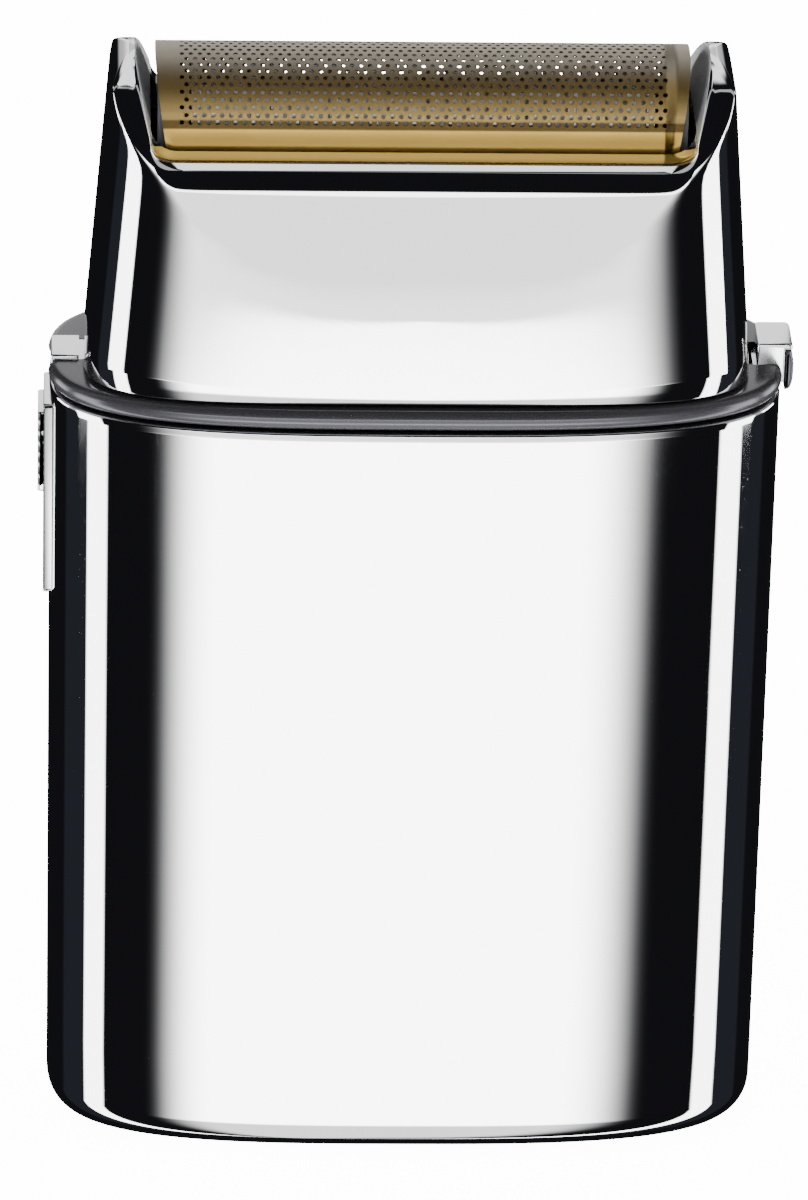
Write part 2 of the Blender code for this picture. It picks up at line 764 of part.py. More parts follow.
def build_cell():
    low = CELL_BOTTOM_Z
    nub_low = low + CELL_LENGTH - CELL_NUB_HEIGHT
    edge = 0.5 * MM
    return turned(
        "battery_cell",
        [
            (0, low + CELL_LENGTH),
            (CELL_NUB_RADIUS, low + CELL_LENGTH),
            (CELL_NUB_RADIUS, nub_low),
            (CELL_RADIUS - edge, nub_low),
            (CELL_RADIUS, nub_low - edge),
            (CELL_RADIUS, low + edge),
            (CELL_RADIUS - edge, low),
            (0, low),
        ],
        (CELL_X, 0, 0),
        32,
    )


def build_contacts():
    """Bent nickel tabs at the cell's two ends."""
    made = []
    bottom_top = CELL_BOTTOM_Z - GAP
    top_low = CELL_BOTTOM_Z + CELL_LENGTH + GAP
    spans = (("battery_contact_bottom", bottom_top - CONTACT_THICKNESS), ("battery_contact_top", top_low))
    for name, z in spans:
        wall = CELL_X - CELL_RADIUS - GAP
        rise = 6.0 * MM if z < CELL_BOTTOM_Z else -6.0 * MM
        far = z + CONTACT_THICKNESS
        plate = box(name, (wall - CONTACT_THICKNESS, -2.5 * MM, z), (CELL_X + 4.0 * MM, 2.5 * MM, far))
        tab_low = min(z, z + rise)
        tab_high = max(far, far + rise)
        tab = box(name + "_tab", (wall - CONTACT_THICKNESS, -1.5 * MM, tab_low), (wall, 1.5 * MM, tab_high))
        made.append(join(plate, tab))
    return made


def board_front_y():
    return INLET_HALF + GAP


def build_board():
    y0 = board_front_y()
    length = BOARD_Z1 - BOARD_Z0
    chip_z = BOARD_Z0 + 0.62 * length
    coil_z = BOARD_Z0 + 0.42 * length
    diode_z = BOARD_Z0 + 0.16 * length
    can_z = BOARD_Z0 + 0.89 * length
    board = box("circuit_board", (BOARD_X0, y0, BOARD_Z0), (BOARD_X1, y0 + BOARD_THICKNESS, BOARD_Z1))
    middle = (BOARD_X0 + BOARD_X1) / 2
    parts = [
        box("chip", (middle - 3.0 * MM, y0 - 1.1 * MM, chip_z), (middle + 3.0 * MM, y0 + GAP, chip_z + 6.0 * MM)),
        box("coil", (middle - 2.2 * MM, y0 - 2.0 * MM, coil_z), (middle + 2.2 * MM, y0 + GAP, coil_z + 4.4 * MM)),
        box("diode", (middle + 2.8 * MM, y0 - 0.9 * MM, diode_z), (middle + 4.4 * MM, y0 + GAP, diode_z + 3.4 * MM)),
        rod(
            "capacitor",
            (middle - 3.6 * MM, y0 - 4.2 * MM, can_z),
            (middle - 3.6 * MM, y0 + GAP, can_z),
            1.9 * MM,
            20,
        ),
    ]
    return join(board, *parts)


def build_leads():
    """Two leads from the motor's end cap to the circuit board."""
    made = []
    cap_bottom = SHELF_TOP_Z - MOTOR_LENGTH - MOTOR_CAP_HEIGHT
    inlet_top = BASE_PLATE_THICKNESS + GAP + INLET_HEIGHT
    drop = cap_bottom - inlet_top
    board_y = board_front_y()
    for name, side in (("motor_lead_red", 1), ("motor_lead_black", -1)):
        y = side * LEAD_SPREAD
        start = Vector((-2.6 * MM, y, cap_bottom - GAP))
        finish_z = cap_bottom - LEAD_DROP * drop + 1.5 * side * LEAD_SPREAD
        finish = Vector((BOARD_X1 - 1.6 * MM, board_y - GAP, finish_z))
        first = start + Vector((0, 0, -LEAD_BEND * drop))
        second = finish + Vector((0, -7.0 * MM, 0))
        points = []
        for step in range(17):
            t = step / 16
            spread = (1 - t) ** 3 * start + 3 * (1 - t) ** 2 * t * first
            points.append(spread + 3 * (1 - t) * t**2 * second + t**3 * finish)
        made.append(wire(name, points, LEAD_RADIUS))
    return made


# ---------------------------------------------------------------- switch


def switch_floor_x():
    return -HALF_WIDTH - SWITCH_PROUD + BEZEL_FLOOR_DEPTH


def switch_body_inner_x():
    return switch_floor_x() + BEZEL_FLOOR + GAP + SWITCH_BODY_DEPTH


def knob_span():
    """Lowest and highest Z of the knob at the on end of its travel."""
    high = SWITCH_WINDOW_Z1 - GAP - BEZEL_RIM - GAP
    return high - KNOB_LENGTH, high


def stem_span():
    low, high = knob_span()
    middle = (low + high) / 2
    return middle - STEM_LENGTH / 2, middle + STEM_LENGTH / 2


def build_switch_bezel():
    outer_x = -HALF_WIDTH - SWITCH_PROUD
    floor_x = switch_floor_x()
    low = SWITCH_WINDOW_Z0 + GAP
    high = SWITCH_WINDOW_Z1 - GAP
    half_y = SWITCH_WINDOW_HALF_Y - GAP
    bezel = box("switch_bezel", (outer_x, -half_y, low), (floor_x + BEZEL_FLOOR, half_y, high))
    channel = box(
        "bezel_channel",
        (outer_x - OVERRUN, -half_y + BEZEL_RIM, low + BEZEL_RIM),
        (floor_x, half_y - BEZEL_RIM, high - BEZEL_RIM),
    )
    stem_low, stem_high = stem_span()
    slot = box(
        "stem_slot",
        (outer_x, -STEM_HALF_Y - GAP, stem_low - SWITCH_TRAVEL - GAP),
        (floor_x + BEZEL_FLOOR + OVERRUN, STEM_HALF_Y + GAP, stem_high + GAP),
    )
    return cut(bezel, channel, slot)


def build_switch_knob():
    """Finger slide with cross ribs and a stem that reaches through the bezel."""
    low, high = knob_span()
    floor_x = switch_floor_x()
    outer_x = -HALF_WIDTH - KNOB_PROUD
    half_y = SWITCH_WINDOW_HALF_Y - 2 * GAP - BEZEL_RIM
    knob = box("switch_knob", (outer_x, -half_y, low), (floor_x - GAP, half_y, high))
    stem_low, stem_high = stem_span()
    stem = box(
        "knob_stem",
        (floor_x - 2 * GAP, -STEM_HALF_Y, stem_low),
        (floor_x + BEZEL_FLOOR + 1.2 * MM, STEM_HALF_Y, stem_high),
    )
    join(knob, stem)
    pitch = KNOB_LENGTH / (KNOB_RIBS + 0.5)
    grooves = []
    for index in range(KNOB_RIBS):
        z = low + pitch * (index + 0.75)
        start = (outer_x, -half_y - OVERRUN, z)
        end = (outer_x, half_y + OVERRUN, z)
        grooves.append(rod("rib_groove", start, end, RIB_DEPTH, 8))
    return cut(knob, *grooves)


def build_slide_switch():
    inner_x = switch_body_inner_x()
    outer_x = inner_x - SWITCH_BODY_DEPTH
    stem_low, stem_high = stem_span()
    low = SWITCH_WINDOW_Z0 + 1.4 * MM
    high = SHELL_TOP_Z - RING_SKIRT - GAP
    body = box("slide_switch", (outer_x, -SWITCH_BODY_HALF_Y, low), (inner_x, SWITCH_BODY_HALF_Y, high))
    groove = box(
        "switch_groove",
        (outer_x - OVERRUN, -STEM_HALF_Y - GAP, stem_low - SWITCH_TRAVEL - GAP),
        (outer_x + 1.2 * MM, STEM_HALF_Y + GAP, stem_high + GAP),
    )
    return cut(body, groove)


# ---------------------------------------------------------------- motor and drive


def build_motor():
    top = SHELF_TOP_Z
    bottom = top - MOTOR_LENGTH
    wall = MOTOR_WALL
    bore = SHAFT_RADIUS + RUNNING_GAP
    can = turned(
        "motor_can",
        [
            (bore, top + MOTOR_BOSS_HEIGHT),
            (MOTOR_BOSS_RADIUS, top + MOTOR_BOSS_HEIGHT),
            (MOTOR_BOSS_RADIUS, top),
            (MOTOR_RADIUS - 0.6 * MM, top),
            (MOTOR_RADIUS, top - 0.6 * MM),
            (MOTOR_RADIUS, bottom),
            (MOTOR_RADIUS - wall, bottom),
            (MOTOR_RADIUS - wall, top - wall),
            (bore, top - wall),
        ],
        (0, 0, 0),
        32,
        closed=True,
    )
    cap_top = bottom - GAP
    cap_bottom = bottom - MOTOR_CAP_HEIGHT
    spigot = MOTOR_RADIUS - wall - GAP
    cap = turned(
        "motor_end_cap",
        [
            (bore, bottom + 1.5 * MM),
            (spigot, bottom + 1.5 * MM),
            (spigot, cap_top),
            (MOTOR_RADIUS, cap_top),
            (MOTOR_RADIUS, cap_bottom + 0.5 * MM),
            (MOTOR_RADIUS - 0.5 * MM, cap_bottom),
            (0, cap_bottom),
            (0, cap_bottom + 1.0 * MM),
            (bore, cap_bottom + 1.0 * MM),
        ],
        (0, 0, 0),
        32,
        closed=False,
    )
    close_inner_bore(cap)
    magnets = [build_magnet("motor_magnet_front", -1), build_magnet("motor_magnet_back", 1)]
    return [can, cap] + magnets


def close_inner_bore(obj):
    """Joins the profile's first and last points, so that the turned shape is closed."""
    bm = bmesh.new()
    bm.from_mesh(obj.data)
    bm.verts.ensure_lookup_table()
    bm.edges.new((bm.verts[-1], bm.verts[0]))
    bm.to_mesh(obj.data)
    bm.free()
    return obj


def rotor_span():
    middle = SHELF_TOP_Z - MOTOR_LENGTH / 2 + 1.0 * MM
    return middle - ROTOR_LENGTH / 2, middle + ROTOR_LENGTH / 2


def build_magnet(name, side):
    """A curved magnet between the can and the rotor."""
    low, high = rotor_span()
    outer = MOTOR_RADIUS - MOTOR_WALL - GAP
    inner = outer - MAGNET_THICKNESS
    half_angle = math.radians(62)
    steps = 12
    points = []
    for radius, order in ((outer, range(steps + 1)), (inner, range(steps, -1, -1))):
        for step in order:
            angle = side * math.pi / 2 - half_angle + 2 * half_angle * step / steps
            points.append((radius * math.cos(angle), radius * math.sin(angle)))
    return outline_solid(name, points, "XY", low, high)


def build_rotor():
    low, high = rotor_span()
    bore = SHAFT_RADIUS + GAP
    shaft_low = SHELF_TOP_Z - MOTOR_LENGTH - MOTOR_CAP_HEIGHT + 1.0 * MM + GAP
    shaft_high = eccentric_span()[1] - 1.1 * MM
    rotor = turned(
        "motor_rotor",
        [
            (bore, high),
            (ROTOR_RADIUS, high),
            (ROTOR_RADIUS, low),
            (ROTOR_RADIUS - 1.8 * MM, low),
            (ROTOR_RADIUS - 1.8 * MM, low - 2.6 * MM),
            (bore, low - 2.6 * MM),
        ],
        (0, 0, 0),
        36,
        closed=True,
    )
    shaft = turned(
        "motor_shaft",
        [(0, shaft_high), (SHAFT_RADIUS, shaft_high), (SHAFT_RADIUS, shaft_low), (0, shaft_low)],
        (0, 0, 0),
        24,
    )
    return [rotor, shaft]


def build_bracket():
    low = SHELF_TOP_Z + GAP
    high = low + BRACKET_THICKNESS
    plate = box("motor_bracket", (-BRACKET_HALF_X, -BRACKET_HALF_Y, low), (BRACKET_HALF_X, BRACKET_HALF_Y, high))
    tools = [rod("boss_clear", (0, 0, low - OVERRUN), (0, 0, high + OVERRUN), MOTOR_BOSS_RADIUS + GAP)]
    screws = []
    for label, side in (("left", -1), ("right", 1)):
        x = side * BRACKET_SCREW_X
        hole_radius = SCREW_SHANK_RADIUS + GAP
        tools.append(rod("bracket_hole", (x, 0, low - OVERRUN), (x, 0, high + OVERRUN), hole_radius, 16))
        screws.append(
            screw_solid(
                "bracket_screw_" + label,
                high + GAP,
                SHELF_TOP_Z - SHELF_THICKNESS + GAP,
                SCREW_HEAD_RADIUS,
                SCREW_HEAD_HEIGHT,
                SCREW_SHANK_RADIUS,
                (x, 0),
            )
        )
    cut(plate, *tools)
    return [plate] + screws


def eccentric_span():
    low = SHELF_TOP_Z + GAP + BRACKET_THICKNESS + 2 * GAP
    return low, roller_span()[0] - ROLLER_FOOT


def crank_pin_top():
    return BRIDGE_TOP_Z - BRIDGE_ROOF - 2 * GAP


def roller_span():
    high = crank_pin_top() - ROLLER_HEAD
    return high - ROLLER_HEIGHT, high


def build_eccentric():
    """Disc on the motor's shaft with an offset crank pin, and the roller on the pin."""
    low, high = eccentric_span()
    pin_top = crank_pin_top()
    disc = rod("eccentric", (0, 0, low), (0, 0, high), ECCENTRIC_RADIUS, 36)
    pin = rod("crank_pin", (0, ORBIT, high - GAP), (0, ORBIT, pin_top), CRANK_PIN_RADIUS, 20)
    bore = rod("shaft_bore", (0, 0, low - OVERRUN), (0, 0, high - 0.8 * MM), SHAFT_RADIUS + GAP, 24)
    cut(join(disc, pin), bore)
    roller_low, roller_high = roller_span()
    inner = CRANK_PIN_RADIUS + GAP
    roller = turned(
        "crank_roller",
        [(inner, roller_high), (ROLLER_RADIUS, roller_high), (ROLLER_RADIUS, roller_low), (inner, roller_low)],
        (0, ORBIT, 0),
        24,
        closed=True,
    )
    return [disc, roller]


def build_bridge():
    """Oscillating bridge with a pocket over the crank roller."""
    bridge = box(
        "drive_bridge",
        (-BRIDGE_HALF_X, -BRIDGE_HALF_Y, BRIDGE_BOTTOM_Z),
        (BRIDGE_HALF_X, BRIDGE_HALF_Y, BRIDGE_TOP_Z),
    )
    half_x = ROLLER_RADIUS + ORBIT + STROKE + 0.2 * MM
    half_y = ROLLER_RADIUS + ORBIT + 0.4 * MM
    pocket = box(
        "bridge_pocket",
        (-half_x, -half_y, BRIDGE_BOTTOM_Z - OVERRUN),
        (half_x, half_y, BRIDGE_TOP_Z - BRIDGE_ROOF),
    )
    return cut(bridge, pocket)


def build_bridge_legs():
    made = []
    for label, side in (("left", -1), ("right", 1)):
        near = BRIDGE_HALF_X + GAP
        far = near + LEG_THICKNESS
        x0, x1 = sorted((side * near, side * far))
        low = (x0, -LEG_HALF_Y, SHELF_TOP_Z + GAP)
        made.append(box("bridge_leg_" + label, low, (x1, LEG_HALF_Y, BRIDGE_TOP_Z - GAP)))
    return made


def build_drive_post():
    bottom = BRIDGE_TOP_Z + GAP
    top = CARRIER_BOTTOM_Z + 2.2 * MM
    collar_low = COLLAR_TOP_Z - COLLAR_HEIGHT
    return turned(
        "drive_post",
        [
            (0, top),
            (DRIVE_POST_RADIUS - 0.3 * MM, top),
            (DRIVE_POST_RADIUS, top - 0.3 * MM),
            (DRIVE_POST_RADIUS, COLLAR_TOP_Z),
            (COLLAR_RADIUS, COLLAR_TOP_Z),
            (COLLAR_RADIUS, collar_low),
            (DRIVE_POST_RADIUS, collar_low),
            (DRIVE_POST_RADIUS, bottom),
            (0, bottom),
        ],
        (0, 0, 0),
        28,
    )


def coil_points(start, end, radius, turns, per_turn=8):
    """Points of a helix from start to end, about the line between them."""
    axis = (end - start).normalized()
    side = axis.orthogonal().normalized()
    other = axis.cross(side)
    count = turns * per_turn
    points = []
    for step in range(count + 1):
        angle = 2 * math.pi * step / per_turn
        center = start + (end - start) * (step / count)
        points.append(center + radius * (math.cos(angle) * side + math.sin(angle) * other))
    return points


def build_cutter_spring():
    start = Vector((0, 0, COLLAR_TOP_Z + GAP + SPRING_WIRE))
    end = Vector((0, 0, CARRIER_BOTTOM_Z - GAP - SPRING_WIRE))
    radius = DRIVE_POST_RADIUS + GAP + 2 * SPRING_WIRE
    return wire("cutter_spring", coil_points(start, end, radius, SPRING_TURNS), SPRING_WIRE, 1)


# ---------------------------------------------------------------- deck


def build_deck():
    half_width = HALF_WIDTH - RING_SHELF_X - GAP
    half_depth = HALF_DEPTH - RING_SHELF_Y - GAP
    deck = plan_solid("deck_plate", rounded_levels(DECK_BOTTOM_Z, DECK_TOP_Z, half_width, half_depth))
    reach = DRIVE_POST_RADIUS + STROKE + 0.4 * MM
    tools = [
        box(
            "post_slot",
            (-reach, -DRIVE_POST_RADIUS - 0.4 * MM, DECK_BOTTOM_Z - OVERRUN),
            (reach, DRIVE_POST_RADIUS + 0.4 * MM, DECK_TOP_Z + OVERRUN),
        )
    ]
    screws = []
    for label, side in (("left", -1), ("right", 1)):
        x = side * POST_X
        hole_radius = SCREW_SHANK_RADIUS + GAP
        low = DECK_BOTTOM_Z - OVERRUN
        tools.append(rod("deck_hole", (x, 0, low), (x, 0, DECK_TOP_Z + OVERRUN), hole_radius, 16))
        screws.append(
            screw_solid(
                "deck_screw_" + label,
                DECK_TOP_Z + GAP,
                DECK_TOP_Z - DECK_SCREW_LENGTH,
                DECK_SCREW_HEAD_RADIUS,
                DECK_SCREW_HEAD_HEIGHT,
                SCREW_SHANK_RADIUS,
                (x, 0),
            )
        )
    cut(deck, *tools)
    return [deck] + screws


def build_seal():
    """Rubber boot that keeps hair out of the drive, with room for the post's stroke."""
    low = DECK_TOP_Z + GAP
    high = low + SEAL_HEIGHT
    bore = DRIVE_POST_RADIUS + STROKE + 0.35 * MM
    return turned(
        "deck_seal",
        [
            (bore, high),
            (bore + 0.9 * MM, high),
            (bore + 1.5 * MM, low + 0.8 * MM),
            (SEAL_RADIUS, low + 0.8 * MM),
            (SEAL_RADIUS, low),
            (bore + 0.6 * MM, low),
            (bore, high - 1.0 * MM),
        ],
        (0, 0, 0),
        32,
        closed=True,
    )


# ---------------------------------------------------------------- head


def neck_half_width(z):
    return NECK_HALF_WIDTH - NECK_TAPER * (z - LEDGE_Z)


def neck_levels(low, high, inset):
    return [(z, neck_half_width(z) - inset, NECK_HALF_DEPTH - inset) for z in (low, high)]


def face_half_depth(z):
    """Half depth of the head's side view: upright, then rolled in, then arched over the top."""
    roll_z = SHAVER_HEIGHT - FACE_ROLL_DROP
    lip_z = SHAVER_HEIGHT - LIP_DROP
    arc_z = SHAVER_HEIGHT - HORN_ARC_DROP
    if z <= roll_z:
        return NECK_HALF_DEPTH
    if z <= lip_z:
        share = (z - roll_z) / (lip_z - roll_z)
        return NECK_HALF_DEPTH - FACE_ROLL_DEPTH * share**FACE_ROLL_POWER
    lip_depth = NECK_HALF_DEPTH - FACE_ROLL_DEPTH
    full = math.sqrt(1 - ((lip_z - arc_z) / HORN_ARC_DROP) ** 2)
    return lip_depth / full * math.sqrt(max(0.0, 1 - ((z - arc_z) / HORN_ARC_DROP) ** 2))


def side_profile(low, high, inset, steps=30):
    """The side view as a closed outline of (y, z) points."""
    points = []
    for step in range(steps + 1):
        share = math.sin(math.pi / 2 * step / steps)
        z = low + (high - low) * share
        points.append((face_half_depth(z) - inset, z))
    if points[-1][0] < 0.00005:
        points[-1] = (0.0, high)
        mirrored = [(-y, z) for y, z in reversed(points[:-1])]
    else:
        mirrored = [(-y, z) for y, z in reversed(points)]
    return points + mirrored


def build_head_shell():
    low = HEAD_BOTTOM_Z
    bulge = OVERRUN
    head = plan_solid("head_shell", neck_levels(low, SHAVER_HEIGHT + bulge, 0.0), HEAD_POINTS, HEAD_POWER)
    outline = side_profile(low - bulge, SHAVER_HEIGHT, -PROFILE_SLACK)
    profile = outline_solid("head_profile", outline, "YZ", -NECK_HALF_WIDTH - bulge, NECK_HALF_WIDTH + bulge)
    combine(head, "INTERSECT", profile)
    cavity = plan_solid("head_cavity", neck_levels(low - bulge, ROOF_BOTTOM_Z, HEAD_WALL), HEAD_POINTS, HEAD_POWER)
    inner_outline = side_profile(low - 2 * bulge, ROOF_BOTTOM_Z + bulge, HEAD_WALL - PROFILE_SLACK)
    inner = outline_solid("cavity_profile", inner_outline, "YZ", -NECK_HALF_WIDTH, NECK_HALF_WIDTH)
    combine(cavity, "INTERSECT", inner)
    saddle = outline_solid("saddle", saddle_outline(), "XZ", -NECK_HALF_DEPTH - bulge, NECK_HALF_DEPTH + bulge)
    hole_half_depth = FOIL_HALF_DEPTH + FOIL_HOLE_CLEARANCE
    roof_hole = box(
        "roof_hole",
        (-SADDLE_HALF_WIDTH, -hole_half_depth, ROOF_BOTTOM_Z - OVERRUN),
        (SADDLE_HALF_WIDTH, hole_half_depth, LIP_TOP_Z + SADDLE_CORNER + OVERRUN),
    )
    cut(head, cavity, saddle, roof_hole)
    for side in (-1, 1):
        cut(head, horn_corner(side), lip_chamfer(side))
    return head


def saddle_outline():
    """U-shaped opening between the two horns, in front view."""
    points = []
    center_z = LIP_TOP_Z + SADDLE_CORNER
    for side in (-1, 1):
        center_x = side * (SADDLE_HALF_WIDTH - SADDLE_CORNER)
        steps = range(7) if side < 0 else range(6, -1, -1)
        for step in steps:
            angle = math.pi / 2 * step / 6
            x = center_x + side * SADDLE_CORNER * math.cos(angle)
            points.append((x, center_z - SADDLE_CORNER * math.sin(angle)))
    top = SHAVER_HEIGHT + 2 * OVERRUN
    return [(-SADDLE_HALF_WIDTH, top)] + points + [(SADDLE_HALF_WIDTH, top)]


def horn_corner(side):
    """What is cut away to round a horn's outer top corner."""
    edge_x = neck_half_width(SHAVER_HEIGHT - HORN_ROUND_Z)
    points = []
    for step in range(9):
        angle = math.pi / 2 * step / 8
        x = edge_x - HORN_ROUND_X * (1 - math.cos(angle))
        points.append((side * x, SHAVER_HEIGHT - HORN_ROUND_Z * (1 - math.sin(angle))))
    high = SHAVER_HEIGHT + 2 * OVERRUN
    far = edge_x + 2 * OVERRUN
    points[-1] = (points[-1][0], SHAVER_HEIGHT + 0.02 * MM)
    points += [(points[-1][0], high), (side * far, high), (side * far, points[0][1])]
    reach = NECK_HALF_DEPTH + OVERRUN
    return outline_solid("horn_corner", points, "XZ", -reach, reach)


def lip_chamfer(side):
    """What is cut away to slope the lip in front of or behind the foil."""
    outer = side * (face_half_depth(LIP_TOP_Z) + OVERRUN)
    inner = side * (face_half_depth(LIP_TOP_Z) - LIP_CHAMFER)
    low = LIP_TOP_Z - LIP_CHAMFER - OVERRUN
    points = [(inner, LIP_TOP_Z + 0.05 * MM), (outer, low), (outer, LIP_TOP_Z + 0.05 * MM)]
    reach = SADDLE_HALF_WIDTH - SADDLE_CORNER
    return outline_solid("lip_slope", points, "YZ", -reach, reach)


def build_head_liner():
    """Black inner frame of the head; its hollow collects the cut hair."""
    low = HEAD_BOTTOM_Z + GAP
    inset = HEAD_WALL + GAP
    liner = plan_solid("head_liner", neck_levels(low, LINER_TOP_Z, inset), HEAD_POINTS, HEAD_POWER)
    outline = side_profile(low - OVERRUN, LINER_TOP_Z + OVERRUN, inset - PROFILE_SLACK)
    profile = outline_solid("liner_profile", outline, "YZ", -NECK_HALF_WIDTH, NECK_HALF_WIDTH)
    combine(liner, "INTERSECT", profile)
    wall = inset + LINER_WALL
    hollow_levels = neck_levels(low - OVERRUN, LINER_TOP_Z - LINER_ROOF, wall)
    hollow = plan_solid("liner_hollow", hollow_levels, HEAD_POINTS, HEAD_POWER)
    inner_outline = side_profile(low - 2 * OVERRUN, LINER_TOP_Z, wall - PROFILE_SLACK)
    inner = outline_solid("hollow_profile", inner_outline, "YZ", -NECK_HALF_WIDTH, NECK_HALF_WIDTH)
    combine(hollow, "INTERSECT", inner)
    slot = box(
        "liner_slot",
        (-FRAME_SLOT_HALF_WIDTH - GAP, -FRAME_SLOT_HALF_DEPTH - GAP, LINER_TOP_Z - LINER_ROOF - OVERRUN),
        (FRAME_SLOT_HALF_WIDTH + GAP, FRAME_SLOT_HALF_DEPTH + GAP, LINER_TOP_Z + OVERRUN),
    )
    return cut(liner, hollow, slot)


def build_head_hook():
    """Bright block at the left that drops into the ring's pocket and hooks the head down."""
    neck_x = -neck_half_width(HEAD_BOTTOM_Z)
    outer_x = -HALF_WIDTH + 0.1 * MM
    low_z = LEDGE_Z - POCKET_DEPTH + GAP
    points = [
        (outer_x, low_z),
        (-HALF_WIDTH + RING_SHELF_X - GAP, low_z),
        (-HALF_WIDTH + RING_SHELF_X - GAP, HEAD_BOTTOM_Z - GAP),
        (neck_x - GAP, HEAD_BOTTOM_Z - GAP),
        (neck_x - GAP, LEDGE_Z + HOOK_PROUD),
        (outer_x + 0.3 * MM, LEDGE_Z + HOOK_PROUD),
        (outer_x, LEDGE_Z + HOOK_PROUD - 0.3 * MM),
    ]
    return outline_solid("head_hook", points, "XZ", -HOOK_HALF_Y, HOOK_HALF_Y)


# ---------------------------------------------------------------- foil cassette and cutter


def arch_outline(half_depth, crown_z, spring_z, low_z, steps=ARCH_STEPS):
    """Upright sides with a half-ellipse over them, as (y, z) points from -y over to +y."""
    points = [(-half_depth, low_z)]
    for step in range(steps + 1):
        angle = math.pi - math.pi * step / steps
        points.append((half_depth * math.cos(angle), spring_z + (crown_z - spring_z) * math.sin(angle)))
    points.append((half_depth, low_z))
    return points


def build_foil():
    """Thin arched sheet whose ends slope inwards towards its foot."""
    foot_z = FRAME_TOP_Z + GAP
    outer = arch_outline(FOIL_HALF_DEPTH, SHAVER_HEIGHT, FOIL_SPRING_Z, foot_z)
    reach = FOIL_CROWN_HALF_WIDTH
    foil = outline_solid("foil", outer, "YZ", -reach, reach)
    inner_half = FOIL_HALF_DEPTH - FOIL_THICKNESS
    inner = arch_outline(inner_half, SHAVER_HEIGHT - FOIL_THICKNESS, FOIL_SPRING_Z, foot_z - OVERRUN)
    hollow = outline_solid("foil_hollow", inner, "YZ", -reach - OVERRUN, reach + OVERRUN)
    cut(foil, hollow)
    slope = (FOIL_CROWN_HALF_WIDTH - FOIL_FOOT_HALF_WIDTH) / (SHAVER_HEIGHT - foot_z)
    high = SHAVER_HEIGHT + OVERRUN
    low = foot_z - OVERRUN
    for side in (-1, 1):
        points = [
            (side * (FOIL_CROWN_HALF_WIDTH - 0.02 * MM + slope * OVERRUN), high),
            (side * (FOIL_FOOT_HALF_WIDTH - slope * OVERRUN), low),
            (side * (reach + OVERRUN), low),
            (side * (reach + OVERRUN), high),
        ]
        cut(foil, outline_solid("foil_end", points, "XZ", -FOIL_HALF_DEPTH - OVERRUN, FOIL_HALF_DEPTH + OVERRUN))
    return foil


def frame_half_depth():
    """Half depth of the frame's flange, which has to clear the head's inside at its corners."""
    share = FRAME_HALF_WIDTH / (neck_half_width(FRAME_TOP_Z) - HEAD_WALL)
    corner = (NECK_HALF_DEPTH - HEAD_WALL) * (1 - share**HEAD_POWER) ** (1 / HEAD_POWER)
    return min(corner, face_half_depth(FRAME_TOP_Z) - HEAD_WALL) - FRAME_CLEARANCE


def build_foil_frame():
    half_depth = frame_half_depth()
    frame = box(
        "foil_frame",
        (-FRAME_HALF_WIDTH, -half_depth, FRAME_BOTTOM_Z),
        (FRAME_HALF_WIDTH, half_depth, FRAME_TOP_Z),
    )
    inset = FOIL_THICKNESS + GAP
    outline = arch_outline(FOIL_HALF_DEPTH - inset, SHAVER_HEIGHT - inset, FOIL_SPRING_Z, FRAME_TOP_Z - GAP, 16)
    cheeks = []
    for side in (-1, 1):
        x0, x1 = sorted((side * (FRAME_HALF_WIDTH - FRAME_CHEEK), side * FRAME_HALF_WIDTH))
        cheeks.append(outline_solid("foil_cheek", outline, "YZ", x0, x1))
    join(frame, *cheeks)
    slot = box(
        "frame_slot",
        (-FRAME_SLOT_HALF_WIDTH, -FRAME_SLOT_HALF_DEPTH, FRAME_BOTTOM_Z - OVERRUN),
        (FRAME_SLOT_HALF_WIDTH, FRAME_SLOT_HALF_DEPTH, FRAME_TOP_Z + OVERRUN),
    )
    return cut(frame, slot)


def build_cutter_blades():
    """A comb of arched blades on one bar."""
    inset = FOIL_THICKNESS + COMB_CLEARANCE
    outline = arch_outline(COMB_HALF_DEPTH, SHAVER_HEIGHT - inset, FOIL_SPRING_Z, COMB_BOTTOM_Z, 10)
    comb = outline_solid("cutter_blades", outline, "YZ", -COMB_HALF_WIDTH, COMB_HALF_WIDTH)
    bm = bmesh.new()
    for index in range(BLADE_COUNT - 1):
        x = -COMB_HALF_WIDTH + BLADE_PITCH * (index + 1) - BLADE_SLOT / 2
        low = Vector((x - BLADE_SLOT / 2, -FOIL_HALF_DEPTH, COMB_BOTTOM_Z + SPINE_BAR))
        high = Vector((x + BLADE_SLOT / 2, FOIL_HALF_DEPTH, SHAVER_HEIGHT + OVERRUN))
        size = high - low
        place = Matrix.Translation((low + high) / 2) @ Matrix.Diagonal((*size, 1.0))
        bmesh.ops.create_cube(bm, size=1.0, matrix=place)
    slots = object_from_bmesh("blade_slots", bm)
    return cut(comb, slots)


